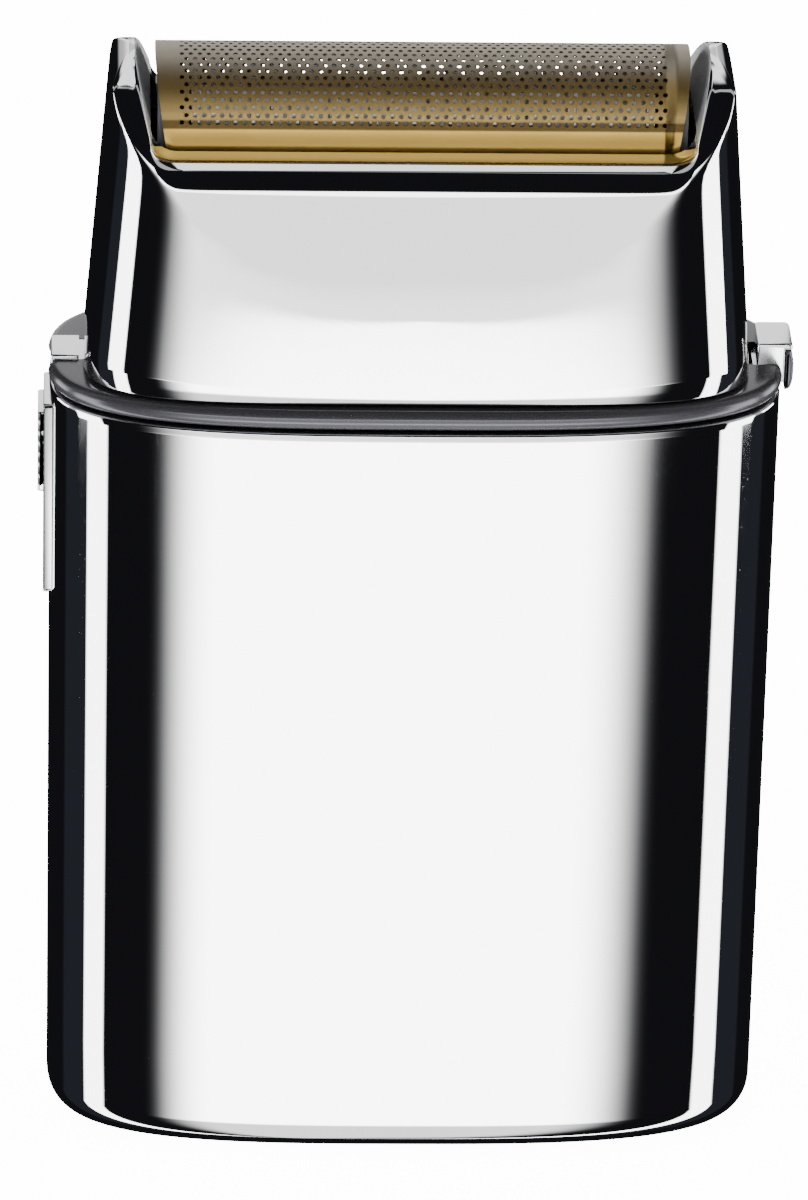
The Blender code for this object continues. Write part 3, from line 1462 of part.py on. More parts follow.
def build_cutter_carrier():
    half_depth = CARRIER_HALF_DEPTH
    carrier = box(
        "cutter_carrier",
        (-CARRIER_HALF_WIDTH, -half_depth, CARRIER_BOTTOM_Z),
        (CARRIER_HALF_WIDTH, half_depth, CARRIER_TOP_Z),
    )
    bore_top = CARRIER_BOTTOM_Z + 2.2 * MM + FLOAT_TRAVEL + 0.5 * MM
    bore = rod(
        "post_bore",
        (0, 0, CARRIER_BOTTOM_Z - OVERRUN),
        (0, 0, bore_top),
        DRIVE_POST_RADIUS + RUNNING_GAP,
        28,
    )
    tools = [bore]
    for side in (-1, 1):
        x0, x1 = sorted((side * 5.0 * MM, side * (CARRIER_HALF_WIDTH - 1.6 * MM)))
        low = (x0, -half_depth + 1.0 * MM, CARRIER_BOTTOM_Z - OVERRUN)
        tools.append(box("carrier_core", low, (x1, half_depth - 1.0 * MM, CARRIER_TOP_Z - 1.4 * MM)))
    return cut(carrier, *tools)


# ---------------------------------------------------------------- release button


def button_inner_x():
    return neck_half_width(HEAD_BOTTOM_Z) + BUTTON_NECK_GAP + PRESS_TRAVEL


def build_release_button():
    """Pad on the ledge with a rounded outer end and a foot inside the ring's pocket."""
    outer = HALF_WIDTH + BUTTON_PROUD
    cap_x = outer - BUTTON_CAP
    foot_z = LEDGE_Z - POCKET_DEPTH + GAP
    foot_x = HALF_WIDTH - RING_SHELF_X + 2.6 * MM
    top = LEDGE_Z + BUTTON_TOP
    radius = 0.9 * MM
    points = [
        (foot_x, foot_z),
        (cap_x, foot_z),
        (cap_x, LEDGE_Z - BUTTON_DROP),
    ]
    points.append((outer - 0.35 * MM, LEDGE_Z - BUTTON_DROP))
    points.append((outer, LEDGE_Z - BUTTON_DROP + 0.5 * MM))
    for step in range(6):
        angle = math.pi / 2 * step / 5
        points.append((outer - radius * (1 - math.cos(angle)), top - radius * (1 - math.sin(angle))))
    points += [
        (button_inner_x(), top),
        (button_inner_x(), foot_z + 1.2 * MM),
        (foot_x, foot_z + 1.2 * MM),
    ]
    button = outline_solid("release_button", points, "XZ", -BUTTON_HALF_Y, BUTTON_HALF_Y)
    return soften(button, 0.15 * MM, 1)


def build_release_spring():
    start = Vector((HALF_WIDTH - RING_SHELF_X + RELEASE_WIRE, 0, release_spring_z()))
    foot_x = HALF_WIDTH - RING_SHELF_X + 2.6 * MM
    end = Vector((foot_x - GAP - RELEASE_WIRE, 0, release_spring_z()))
    points = coil_points(start, end, RELEASE_COIL_RADIUS - RELEASE_WIRE, RELEASE_TURNS)
    return wire("release_spring", points, RELEASE_WIRE, 1)


def release_spring_z():
    return LEDGE_Z - POCKET_DEPTH + GAP + 0.62 * MM


# ---------------------------------------------------------------- finish


def set_origin(obj, point):
    """Moves the object's origin, leaving its shape where it is."""
    shift = Vector(point) - obj.location
    obj.data.transform(Matrix.Translation(-shift))
    obj.location = Vector(point)
    return obj


def make_joint_empty(name, point, members):
    """An empty on the joint's axis that carries the moving pieces."""
    empty = bpy.data.objects.new(name, None)
    empty.empty_display_size = 0.005
    get_collection(PART_COLLECTION).objects.link(empty)
    empty.location = point
    bpy.context.view_layer.update()
    for member in members:
        member.parent = empty
        member.matrix_parent_inverse = empty.matrix_world.inverted()
    return empty


def paint(objects, name, color, roughness, metallic, coat=0.0):
    for obj in objects:
        material = make_material(obj.name + "_" + name, color, roughness, metallic, coat)
        obj.data.materials.clear()
        obj.data.materials.append(material)


def build_all():
    clear_scene()
    shell = build_body_shell()
    ring = build_shoulder_ring()
    base_plate = build_base_plate()
    base_screws = build_base_screws()
    inlet = build_inlet()
    lamp = build_lamp()
    chassis = build_chassis()
    cell = build_cell()
    contacts = build_contacts()
    board = build_board()
    leads = build_leads()
    bezel = build_switch_bezel()
    knob = build_switch_knob()
    slide_switch = build_slide_switch()
    can, cap, *magnets = build_motor()
    rotor, shaft = build_rotor()
    bracket, *bracket_screws = build_bracket()
    eccentric, roller = build_eccentric()
    bridge = build_bridge()
    legs = build_bridge_legs()
    post = build_drive_post()
    spring = build_cutter_spring()
    deck, *deck_screws = build_deck()
    seal = build_seal()
    head = build_head_shell()
    liner = build_head_liner()
    hook = build_head_hook()
    foil = build_foil()
    frame = build_foil_frame()
    blades = build_cutter_blades()
    carrier = build_cutter_carrier()
    button = build_release_button()
    release_spring = build_release_spring()

    paint([shell, head], "chrome", (0.78, 0.79, 0.81), 0.06, 1.0)
    paint([ring], "dark_chrome", (0.16, 0.17, 0.19), 0.12, 1.0)
    paint([button, hook], "bright_chrome", (0.80, 0.81, 0.83), 0.15, 1.0)
    paint([foil], "gold", (0.80, 0.62, 0.28), 0.28, 1.0)
    paint([base_plate, liner, frame, deck], "black_plastic", (0.02, 0.02, 0.022), 0.45, 0.0)
    paint([bezel], "dark_plastic", (0.05, 0.05, 0.055), 0.35, 0.0)
    paint([knob], "satin_metal", (0.66, 0.67, 0.70), 0.25, 1.0)
    paint([chassis, bridge, carrier], "grey_plastic", (0.30, 0.31, 0.33), 0.5, 0.0)
    paint([cell], "cell_sleeve", (0.10, 0.25, 0.50), 0.35, 0.0)
    paint(contacts, "nickel", (0.70, 0.68, 0.62), 0.3, 1.0)
    paint([board], "laminate", (0.02, 0.18, 0.08), 0.4, 0.0)
    paint([leads[0]], "red_pvc", (0.60, 0.03, 0.03), 0.45, 0.0)
    paint([leads[1]], "black_pvc", (0.02, 0.02, 0.02), 0.45, 0.0)
    paint([slide_switch, inlet, cap], "black_nylon", (0.03, 0.03, 0.03), 0.5, 0.0)
    paint([lamp], "lens", (0.75, 0.85, 0.80), 0.15, 0.0)
    paint([can], "plated_steel", (0.62, 0.63, 0.65), 0.3, 1.0)
    paint(magnets, "ferrite", (0.08, 0.08, 0.085), 0.6, 0.0)
    paint([rotor], "laminations", (0.42, 0.30, 0.22), 0.45, 1.0)
    paint([shaft, post, bracket], "steel", (0.60, 0.61, 0.63), 0.28, 1.0)
    paint(legs + [spring, release_spring], "spring_steel", (0.55, 0.56, 0.58), 0.3, 1.0)
    paint([blades], "blade_steel", (0.70, 0.71, 0.74), 0.2, 1.0)
    paint([eccentric], "brass", (0.72, 0.55, 0.26), 0.3, 1.0)
    paint([roller], "acetal", (0.85, 0.84, 0.80), 0.4, 0.0)
    paint([seal], "rubber", (0.03, 0.03, 0.03), 0.8, 0.0)
    paint(base_screws + bracket_screws + deck_screws, "screw_steel", (0.50, 0.50, 0.52), 0.3, 1.0)

    head_middle = (0, 0, HEAD_BOTTOM_Z)
    for obj in (head, liner, hook, foil, frame):
        set_origin(obj, head_middle)
    make_joint_empty("head_lift_axis", head_middle, [head, liner, hook, foil, frame])
    knob_low, knob_high = knob_span()
    knob_point = (-HALF_WIDTH, 0, (knob_low + knob_high) / 2)
    set_origin(knob, knob_point)
    make_joint_empty("switch_slide_axis", knob_point, [knob])
    button_point = (HALF_WIDTH, 0, LEDGE_Z)
    set_origin(button, button_point)
    make_joint_empty("release_press_axis", button_point, [button])
    motor_point = (0, 0, SHELF_TOP_Z - MOTOR_LENGTH / 2)
    for obj in (rotor, shaft, eccentric):
        set_origin(obj, motor_point)
    make_joint_empty("motor_axis", motor_point, [rotor, shaft, eccentric, roller])
    bridge_point = (0, 0, BRIDGE_TOP_Z)
    for obj in (bridge, post):
        set_origin(obj, bridge_point)
    bridge_empty = make_joint_empty("bridge_axis", bridge_point, [bridge, post])
    float_point = (0, 0, CARRIER_BOTTOM_Z)
    for obj in (carrier, blades):
        set_origin(obj, float_point)
    float_empty = make_joint_empty("cutter_float_axis", float_point, [carrier, blades])
    bpy.context.view_layer.update()
    float_empty.parent = bridge_empty
    float_empty.matrix_parent_inverse = bridge_empty.matrix_world.inverted()


build_all()
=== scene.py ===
"""Cordless foil shaver: its visible surfaces and finishes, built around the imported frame.

Lengths in this file are millimetres until a mesh is made, and metres after that. The
shaver stands on its base at Z = 0, front towards -Y, slide switch at -X, release
button at +X.
"""

import logging
import math
from dataclasses import dataclass, field
from enum import Enum
from typing import Union

import bmesh
import bpy
import numpy as np
from mathutils import Matrix, Vector


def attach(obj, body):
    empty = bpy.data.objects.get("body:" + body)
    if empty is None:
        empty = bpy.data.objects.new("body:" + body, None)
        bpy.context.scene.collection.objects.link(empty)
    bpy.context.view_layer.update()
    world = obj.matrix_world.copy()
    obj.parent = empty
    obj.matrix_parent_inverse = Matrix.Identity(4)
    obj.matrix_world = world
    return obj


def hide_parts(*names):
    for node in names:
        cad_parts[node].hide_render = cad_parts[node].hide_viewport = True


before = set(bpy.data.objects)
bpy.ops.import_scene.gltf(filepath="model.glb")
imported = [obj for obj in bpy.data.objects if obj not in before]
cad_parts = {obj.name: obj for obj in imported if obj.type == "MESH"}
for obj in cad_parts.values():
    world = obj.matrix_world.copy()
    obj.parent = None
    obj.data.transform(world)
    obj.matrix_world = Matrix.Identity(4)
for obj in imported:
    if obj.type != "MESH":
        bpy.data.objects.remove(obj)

LOG = logging.getLogger("shaver")
MM = 0.001
WELD = 1e-7
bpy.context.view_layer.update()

Number = Union[float, np.ndarray]
Term = Union[float, "Wave", bpy.types.NodeSocket]
Colour = Union[tuple, bpy.types.NodeSocket]


# ------------------------------------------------------------------ surfaces

BODY_POWER = 3.1


def superellipse(angle: np.ndarray, half_x: Number, half_y: Number, power: float = BODY_POWER) -> tuple:
    """Points of |x/a|^n + |y/b|^n = 1.

    Args:
        angle: Parameter, where x = a sgn(cos) |cos|^(2/n) and y = b sgn(sin) |sin|^(2/n).
        half_x: Half width a.
        half_y: Half depth b.
        power: Exponent n.

    Returns:
        The x and y arrays.
    """
    cos, sin = np.cos(angle), np.sin(angle)
    x = half_x * np.sign(cos) * np.abs(cos) ** (2 / power)
    y = half_y * np.sign(sin) * np.abs(sin) ** (2 / power)
    return x, y


def plan_angles(half_x: float, half_y: float, count: int, marks: tuple = ()) -> np.ndarray:
    """Parameters spaced evenly by arc length round a superellipse, with some marks among them.

    Args:
        half_x: Half width.
        half_y: Half depth.
        count: How many even steps.
        marks: Parameters that must be present; an even one that is near gives way.

    Returns:
        The sorted parameters in (-pi, pi].
    """
    dense = np.linspace(-math.pi, math.pi, 40001)
    x, y = superellipse(dense, half_x, half_y)
    length = np.concatenate([[0.0], np.cumsum(np.hypot(np.diff(x), np.diff(y)))])
    even = np.interp(np.linspace(0, length[-1], count, endpoint=False), length, dense)
    if marks:
        at = np.interp(np.array(marks), dense, length)
        here = np.interp(even, dense, length)
        near = np.min(np.abs(here[:, None] - at[None, :]), axis=1) < 0.3 * length[-1] / count
        even = np.sort(np.concatenate([even[~near], np.array(marks)]))
    return even


def side_mark(offset: float, half_y: float, left: bool, power: float = BODY_POWER) -> float:
    """The parameter at which a superellipse passes a given y on its left or right side."""
    angle = math.asin((abs(offset) / half_y) ** (power / 2)) * (1 if offset > 0 else -1)
    if not left:
        return angle
    return math.copysign(math.pi, offset) - angle


def rounded_rectangle(half_u: float, half_v: float, radius: float, count: int = 48) -> np.ndarray:
    """A rounded rectangle as points: a corner centre plus radius (cos t, sin t) for each quarter turn."""
    angle = (np.arange(count) + 0.5) / count * 2 * math.pi
    cos, sin = np.cos(angle), np.sin(angle)
    u = np.sign(cos) * (half_u - radius) + radius * cos
    v = np.sign(sin) * (half_v - radius) + radius * sin
    return np.stack([u, v], axis=1)


def grid_quads(rows: int, columns: int, wrap_rows: bool = False, wrap_columns: bool = False) -> np.ndarray:
    """Corner numbers of the cells of a grid, shape (rows, columns, 4) before it is flattened."""
    down = np.arange(rows if wrap_rows else rows - 1)
    across = np.arange(columns if wrap_columns else columns - 1)
    r, c = np.meshgrid(down, across, indexing="ij")
    r1, c1 = (r + 1) % rows, (c + 1) % columns
    return np.stack([r * columns + c, r * columns + c1, r1 * columns + c1, r1 * columns + c], axis=-1)


def solid_sheet(outer: np.ndarray, inner: np.ndarray, quads: np.ndarray) -> tuple:
    """Closes a sheet into a wall: outer face, inner face reversed, and a strip along each open edge.

    Points that coincide on both faces are merged first. An edge is open when the
    cell on its other side is missing, that is when no cell runs along it backwards.

    Args:
        outer: (N, 3) points of the outer face.
        inner: (N, 3) matching points of the inner face.
        quads: (F, 4) cells.

    Returns:
        Points and faces of the closed wall.
    """
    key = np.round(np.concatenate([outer, inner], axis=1), 4)
    _, first, number = np.unique(key, axis=0, return_index=True, return_inverse=True)
    outer, inner, quads = outer[first], inner[first], number.reshape(-1)[quads.reshape(-1, 4)]
    count = len(outer)
    start, end = quads.reshape(-1), np.roll(quads, -1, axis=1).reshape(-1)
    real = start != end
    start, end = start[real].astype(np.int64), end[real].astype(np.int64)
    rim = ~np.isin(start * count + end, end * count + start)
    start, end = start[rim], end[rim]
    strip = np.stack([end, start, start + count, end + count], axis=1)
    faces = np.concatenate([quads, quads[:, ::-1] + count, strip])
    return np.concatenate([outer, inner]), faces


@dataclass
class Piece:
    """A mesh object that rides on a body.

    Attributes:
        name: The object's name.
        body: The body it rides on.
        points: (N, 3) points in millimetres.
        faces: Faces as arrays or lists of corner numbers.
        finish: The material.
        slot: Name of a material slot; not used.
        stands_for: CAD nodes that it replaces.
        crease: Angle in degrees above which an edge is left sharp.
        second: A further material.
        second_faces: Which points belong to faces of that material.
    """

    name: str
    body: str
    points: np.ndarray
    faces: list
    finish: bpy.types.Material
    slot: str
    stands_for: tuple = ()
    crease: float = 38.0
    second: bpy.types.Material = None
    second_faces: np.ndarray = None

    def make(self) -> bpy.types.Object:
        """Builds the object, points its faces outwards and gives it its place and finish.

        Returns:
            The object.
        """
        mesh = bpy.data.meshes.new(self.name)
        faces = [list(dict.fromkeys(face)) for face in np.asarray(self.faces, dtype=object).tolist()]
        faces = [face for face in faces if len(face) > 2]
        mesh.from_pydata((np.asarray(self.points) * MM).tolist(), [], faces)
        if self.second:
            marked = np.asarray(self.second_faces)
            index = np.array([int(marked[face].all()) for face in faces], dtype=np.int32)
            mesh.polygons.foreach_set("material_index", index)
        made = bmesh.new()
        made.from_mesh(mesh)
        bmesh.ops.remove_doubles(made, verts=made.verts, dist=WELD)
        loose = [vert for vert in made.verts if not vert.link_faces]
        bmesh.ops.delete(made, geom=loose, context="VERTS")
        bmesh.ops.recalc_face_normals(made, faces=made.faces)
        made.to_mesh(mesh)
        made.free()
        mesh.shade_smooth()
        mesh.set_sharp_from_angle(angle=math.radians(self.crease))
        mesh.materials.append(self.finish)
        if self.second:
            mesh.materials.append(self.second)
        piece = bpy.data.objects.new(self.name, mesh)
        bpy.context.scene.collection.objects.link(piece)
        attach(piece, self.body)
        if self.stands_for:
            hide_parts(*self.stands_for)
        return piece


def slab(outline: np.ndarray, half: float, radius: float, axis: str = "Y", steps: int = 4) -> tuple:
    """A flat outline carried along an axis, with its two rims rounded.

    At the rims the outline moves in by r (1 - cos t) while the station moves out by r sin t.

    Args:
        outline: (N, 2) closed outline.
        half: Half thickness along the axis.
        radius: Radius of the rims.
        axis: "Y" for an outline in X and Z, "X" for one in Y and Z.
        steps: Steps in each rim.

    Returns:
        Points and faces.
    """
    forward = np.roll(outline, -1, axis=0) - outline
    forward /= np.linalg.norm(forward, axis=1, keepdims=True) + 1e-12
    inward = np.stack([-forward[:, 1], forward[:, 0]], axis=1)
    area = np.sum(outline[:, 0] * np.roll(outline[:, 1], -1) - np.roll(outline[:, 0], -1) * outline[:, 1])
    inward *= np.sign(area)
    both = inward + np.roll(inward, 1, axis=0)
    both /= np.maximum(np.sum(both * both, axis=1, keepdims=True) / 2, 0.5)
    turn = np.linspace(math.pi / 2, 0, steps + 1)
    inset = np.concatenate([radius * (1 - np.cos(turn)), radius * (1 - np.cos(turn[::-1]))])
    place = np.concatenate([-(half - radius) - radius * np.sin(turn), (half - radius) + radius * np.sin(turn[::-1])])
    flat = outline[None] + both[None] * inset[:, None, None]
    along = np.broadcast_to(place[:, None], flat.shape[:2])
    if axis == "Y":
        points = np.stack([flat[..., 0], along, flat[..., 1]], axis=-1)
    else:
        points = np.stack([along, flat[..., 0], flat[..., 1]], axis=-1)
    rows, columns = flat.shape[:2]
    faces = grid_quads(rows, columns, wrap_columns=True).reshape(-1, 4).tolist()
    faces.append(list(range(columns)))
    faces.append(list(range((rows - 1) * columns, rows * columns))[::-1])
    return points.reshape(-1, 3), faces


def ragged(faces: list) -> np.ndarray:
    """Faces of mixed sizes as one object array."""
    kept = np.empty(len(faces), dtype=object)
    kept[:] = [list(face) for face in faces]
    return kept


# ------------------------------------------------------------------ shader bench


class Wave:
    """A socket that takes part in arithmetic: each operator adds one Math node."""

    def __init__(self, bench: "Bench", socket: bpy.types.NodeSocket) -> None:
        """Wraps an output socket."""
        self.bench = bench
        self.socket = socket

    def _math(self, operation: str, *terms: Term) -> "Wave":
        """One Math node on these terms."""
        return self.bench.math(operation, *terms)

    def __add__(self, other: Term) -> "Wave":
        """self + other."""
        return self._math("ADD", self, other)

    def __radd__(self, other: Term) -> "Wave":
        """other + self."""
        return self._math("ADD", other, self)

    def __sub__(self, other: Term) -> "Wave":
        """self - other."""
        return self._math("SUBTRACT", self, other)

    def __rsub__(self, other: Term) -> "Wave":
        """other - self."""
        return self._math("SUBTRACT", other, self)

    def __mul__(self, other: Term) -> "Wave":
        """self * other."""
        return self._math("MULTIPLY", self, other)

    def __rmul__(self, other: Term) -> "Wave":
        """other * self."""
        return self._math("MULTIPLY", other, self)

    def __truediv__(self, other: Term) -> "Wave":
        """self / other."""
        return self._math("DIVIDE", self, other)

    def __pow__(self, other: Term) -> "Wave":
        """self to the power of other."""
        return self._math("POWER", self, other)


class Bench:
    """A node tree with short ways to add what a finish needs."""

    def __init__(self, tree: bpy.types.NodeTree) -> None:
        """Takes the tree to add nodes to."""
        self.tree = tree

    def node(self, kind: str, settings: dict = None, **sockets: Union[Term, Colour]) -> bpy.types.Node:
        """Adds a node.

        Args:
            kind: The node's type.
            settings: Properties, set before the sockets.
            sockets: Values or links by socket name, with _ for a space.

        Returns:
            The node.
        """
        made = self.tree.nodes.new(kind)
        for key, value in (settings or {}).items():
            setattr(made, key, value)
        for key, value in sockets.items():
            self.feed(made.inputs[key.replace("_", " ")], value)
        return made

    def feed(self, socket: bpy.types.NodeSocket, value: Union[Term, Colour]) -> None:
        """Links or sets one socket."""
        if isinstance(value, Wave):
            self.tree.links.new(value.socket, socket)
        elif isinstance(value, bpy.types.NodeSocket):
            self.tree.links.new(value, socket)
        elif isinstance(value, tuple) and len(value) == 3 and len(getattr(socket, "default_value", ())) == 4:
            socket.default_value = (*value, 1.0)
        else:
            socket.default_value = value

    def math(self, operation: str, *terms: Term) -> Wave:
        """One Math node."""
        made = self.node("ShaderNodeMath", {"operation": operation})
        for index, term in enumerate(terms):
            self.feed(made.inputs[index], term)
        return Wave(self, made.outputs[0])

    def smooth(self, value: Term, low: float, high: float, start: float = 0.0, end: float = 1.0) -> Wave:
        """A smooth step from start at low to end at high."""
        made = self.node(
            "ShaderNodeMapRange",
            {"interpolation_type": "SMOOTHSTEP"},
            Value=value,
            From_Min=low,
            From_Max=high,
            To_Min=start,
            To_Max=end,
        )
        return Wave(self, made.outputs[0])

    def mix(self, factor: Term, first: Colour, second: Colour) -> bpy.types.NodeSocket:
        """Mixes two colours; a Mix node keeps its colour sockets at inputs 6 and 7 and output 2."""
        made = self.node("ShaderNodeMix", {"data_type": "RGBA"})
        for index, value in ((0, factor), (6, first), (7, second)):
            self.feed(made.inputs[index], value)
        return made.outputs[2]

    def place(self, stretch: tuple = (1.0, 1.0, 1.0)) -> bpy.types.NodeSocket:
        """Object coordinates in millimetres, each axis scaled."""
        spot = self.node("ShaderNodeTexCoord").outputs["Object"]
        scale = tuple(each / MM for each in stretch)
        return self.node("ShaderNodeMapping", Vector=spot, Scale=scale).outputs[0]

    def noise(self, per_mm: float, detail: float = 2.0, stretch: tuple = (1.0, 1.0, 1.0)) -> Wave:
        """Noise from 0 to 1 with per_mm features to a millimetre."""
        made = self.node(
            "ShaderNodeTexNoise",
            {"noise_dimensions": "3D"},
            Vector=self.place(stretch),
            Scale=per_mm,
            Detail=detail,
            Roughness=0.55,
        )
        return Wave(self, made.outputs[0])

    def axis(self, letter: str) -> Wave:
        """One of the object coordinates, in millimetres."""
        parts = self.node("ShaderNodeSeparateXYZ", Vector=self.place())
        return Wave(self, parts.outputs["XYZ".index(letter)])

    def bump(self, height: Term, strength: float, distance: float) -> bpy.types.NodeSocket:
        """A normal from a height; distance in millimetres."""
        return self.node("ShaderNodeBump", Strength=strength, Distance=distance * MM, Height=height).outputs[0]


@dataclass(frozen=True)
class Finish:
    """A surface finish.

    Attributes:
        name: The material's name.
        colour: Main colour, linear.
        roughness: Mean roughness.
        metallic: 1 for metal, 0 for plastic and rubber.
    """

    name: str
    colour: tuple
    roughness: float
    metallic: float = 0.0

    def pattern(self, bench: Bench) -> dict:
        """What varies over the surface, by shader socket.

        Args:
            bench: The material's node tree.

        Returns:
            Links by shader socket.
        """
        raise NotImplementedError

    def material(self) -> bpy.types.Material:
        """Builds the material once and gives it back after that.

        Returns:
            The material.
        """
        if self.name in bpy.data.materials:
            return bpy.data.materials[self.name]
        made = bpy.data.materials.new(self.name)
        made.use_nodes = True
        made.diffuse_color = (*self.colour, 1.0)
        bench = Bench(made.node_tree)
        shader = made.node_tree.nodes["Principled BSDF"]
        shader.inputs["Base Color"].default_value = (*self.colour, 1.0)
        shader.inputs["Roughness"].default_value = self.roughness
        shader.inputs["Metallic"].default_value = self.metallic
        for name, value in self.pattern(bench).items():
            bench.feed(shader.inputs[name], value)
        return made


@dataclass(frozen=True)
class Plating(Finish):
    """Polished plating: a mirror with faint handling haze, dust specks and hairline marks.

    Attributes:
        shade: Colour where the plating is a little darker.
        haze: Added roughness in handled patches.
        hairline: Added roughness in the fine marks.
    """

    metallic: float = 1.0
    shade: tuple = (0.8, 0.8, 0.82)
    haze: float = 0.05
    hairline: float = 0.05

    def pattern(self, bench: Bench) -> dict:
        """Haze in patches, upright hairlines and dust specks, all in the roughness.

        Args:
            bench: The material's node tree.

        Returns:
            Links by shader socket.
        """
        patches = bench.smooth(bench.noise(0.09, 3.0), 0.42, 0.72)
        marks = bench.smooth(bench.noise(2.2, 2.0, (1.0, 1.0, 0.05)), 0.66, 0.74)
        specks = bench.smooth(bench.noise(4.5, 1.0), 0.74, 0.78)
        rough = self.roughness + patches * self.haze + marks * self.hairline + specks * 0.05
        tone = bench.mix(bench.noise(0.05, 2.0) * 0.5 + specks * 0.3, self.colour, self.shade)
        return {"Roughness": rough, "Base Color": tone}


@dataclass(frozen=True)
class Moulded(Finish):
    """Injection-moulded plastic or rubber with a fine spark-eroded grain.

    Attributes:
        light: Colour of the rubbed high spots.
        grain: Grain features to a millimetre.
        depth: Depth of the grain in millimetres.
    """

    light: tuple = (0.08, 0.08, 0.085)
    grain: float = 6.0
    depth: float = 0.02

    def pattern(self, bench: Bench) -> dict:
        """Spark-eroded grain in the bump, and rubbed places in the colour.

        Args:
            bench: The material's node tree.

        Returns:
            Links by shader socket.
        """
        grain = bench.noise(self.grain, 3.0)
        cloud = bench.noise(0.25, 3.0)
        rubbed = bench.smooth(cloud, 0.35, 0.8)
        rough = self.roughness + (cloud - 0.5) * 0.16 + (grain - 0.5) * 0.1
        return {
            "Base Color": bench.mix(rubbed * 0.6, self.colour, self.light),
            "Roughness": rough,
            "Normal": bench.bump(grain, 0.35, self.depth),
        }


@dataclass(frozen=True)
class Worked(Finish):
    """Metal with the lines of turning, rolling or brushing, and a thin tarnish.

    Attributes:
        metallic: Always metal.
        lines: Direction of the lines, "X", "Y" or "Z".
        pitch: Lines to a millimetre.
        tarnish: Colour of the tarnished patches.
    """

    metallic: float = 1.0
    lines: str = "X"
    pitch: float = 5.0
    tarnish: tuple = (0.4, 0.38, 0.34)

    def pattern(self, bench: Bench) -> dict:
        """Noise drawn out along the lines, and stains in the colour.

        Args:
            bench: The material's node tree.

        Returns:
            Links by shader socket.
        """
        stretch = tuple(0.06 if axis == self.lines else 1.0 for axis in "XYZ")
        lines = bench.noise(self.pitch, 2.0, stretch)
        stain = bench.smooth(bench.noise(0.4, 4.0), 0.52, 0.78)
        return {
            "Base Color": bench.mix(stain * 0.45, self.colour, self.tarnish),
            "Roughness": self.roughness + (lines - 0.5) * 0.18 + stain * 0.12,
            "Normal": bench.bump(lines, 0.25, 0.01),
        }


@dataclass(frozen=True)
class FoilPlate(Finish):
    """Thin etched shaving foil with a gold coating, coloured paler along its crown as a painted highlight.

    Attributes:
        metallic: Always metal.
        crown: Colour of the painted highlight along the crown.
        strip: Colour of the plain strip along the foot.
        seam: Colour of the painted shade line in the groove between strip and mesh.
        spring_z: Height where the arch starts.
        crown_z: Height of the crown.
    """

    metallic: float = 1.0
    crown: tuple = (0.36, 0.34, 0.3)
    strip: tuple = (0.62, 0.4, 0.09)
    seam: tuple = (0.07, 0.045, 0.015)
    spring_z: float = 99.0
    crown_z: float = 104.0

    def pattern(self, bench: Bench) -> dict:
        """Colour by height: strip, painted shade line at the groove, mesh and painted highlight on the crown, over
        etched grain.

        Args:
            bench: The material's node tree.

        Returns:
            Links by shader socket.
        """
        height = bench.axis("Z")
        # painted highlight: the crown is coloured paler, standing in for the light from above
        crown_highlight_mask = bench.smooth(height, self.crown_z - 1.9, self.crown_z - 0.2)
        foot = bench.smooth(height, self.spring_z - 0.1, self.spring_z - 0.5)
        etched = bench.noise(5.0, 3.0)
        streaks = bench.noise(1.2, 2.0, (0.15, 1.0, 1.0))
        base = bench.mix(crown_highlight_mask * (0.6 + etched * 0.4), self.colour, self.crown)
        base = bench.mix(foot * 0.9, base, self.strip)
        # painted shade: a dark line coloured in along the groove between strip and mesh
        line = bench.smooth(height, self.spring_z - 0.4, self.spring_z - 0.25)
        line = line * bench.smooth(height, self.spring_z + 0.35, self.spring_z + 0.55, 1.0, 0.0)
        rough = self.roughness + (etched - 0.5) * 0.16 + (streaks - 0.5) * 0.1 - foot * 0.16
        return {
            "Base Color": bench.mix(line * 0.8, base, self.seam),
            "Roughness": rough,
            "Normal": bench.bump(etched, 0.15, 0.01),
        }


@dataclass(frozen=True)
class CellWrap(Finish):
    """Heat-shrunk sleeve of the cell: one colour with a pale band near its plus end.

    Attributes:
        band: Colour of the band.
        band_z: Height of the band's middle.
        bare: Colour of the bare metal ends.
        top_z: Height where the sleeve stops.
    """

    band: tuple = (0.75, 0.76, 0.72)
    band_z: float = 47.0
    bare: tuple = (0.62, 0.62, 0.6)
    top_z: float = 53.6

    def pattern(self, bench: Bench) -> dict:
        """Colour by height: sleeve, band and bare end, over shrink wrinkles.

        Args:
            bench: The material's node tree.

        Returns:
            Links by shader socket.
        """
        height = bench.axis("Z")
        ring = bench.smooth(height, self.band_z - 2.1, self.band_z - 2.0) * bench.smooth(
            height, self.band_z + 2.1, self.band_z + 2.0
        )
        bare = bench.smooth(height, self.top_z, self.top_z + 0.1)
        wrinkle = bench.noise(0.9, 3.0, (1.0, 1.0, 0.25))
        sleeve = bench.mix(ring, self.colour, self.band)
        return {
            "Base Color": bench.mix(bare, sleeve, self.bare),
            "Metallic": bare,
            "Roughness": self.roughness + (wrinkle - 0.5) * 0.2,
            "Normal": bench.bump(wrinkle, 0.3, 0.04),
        }


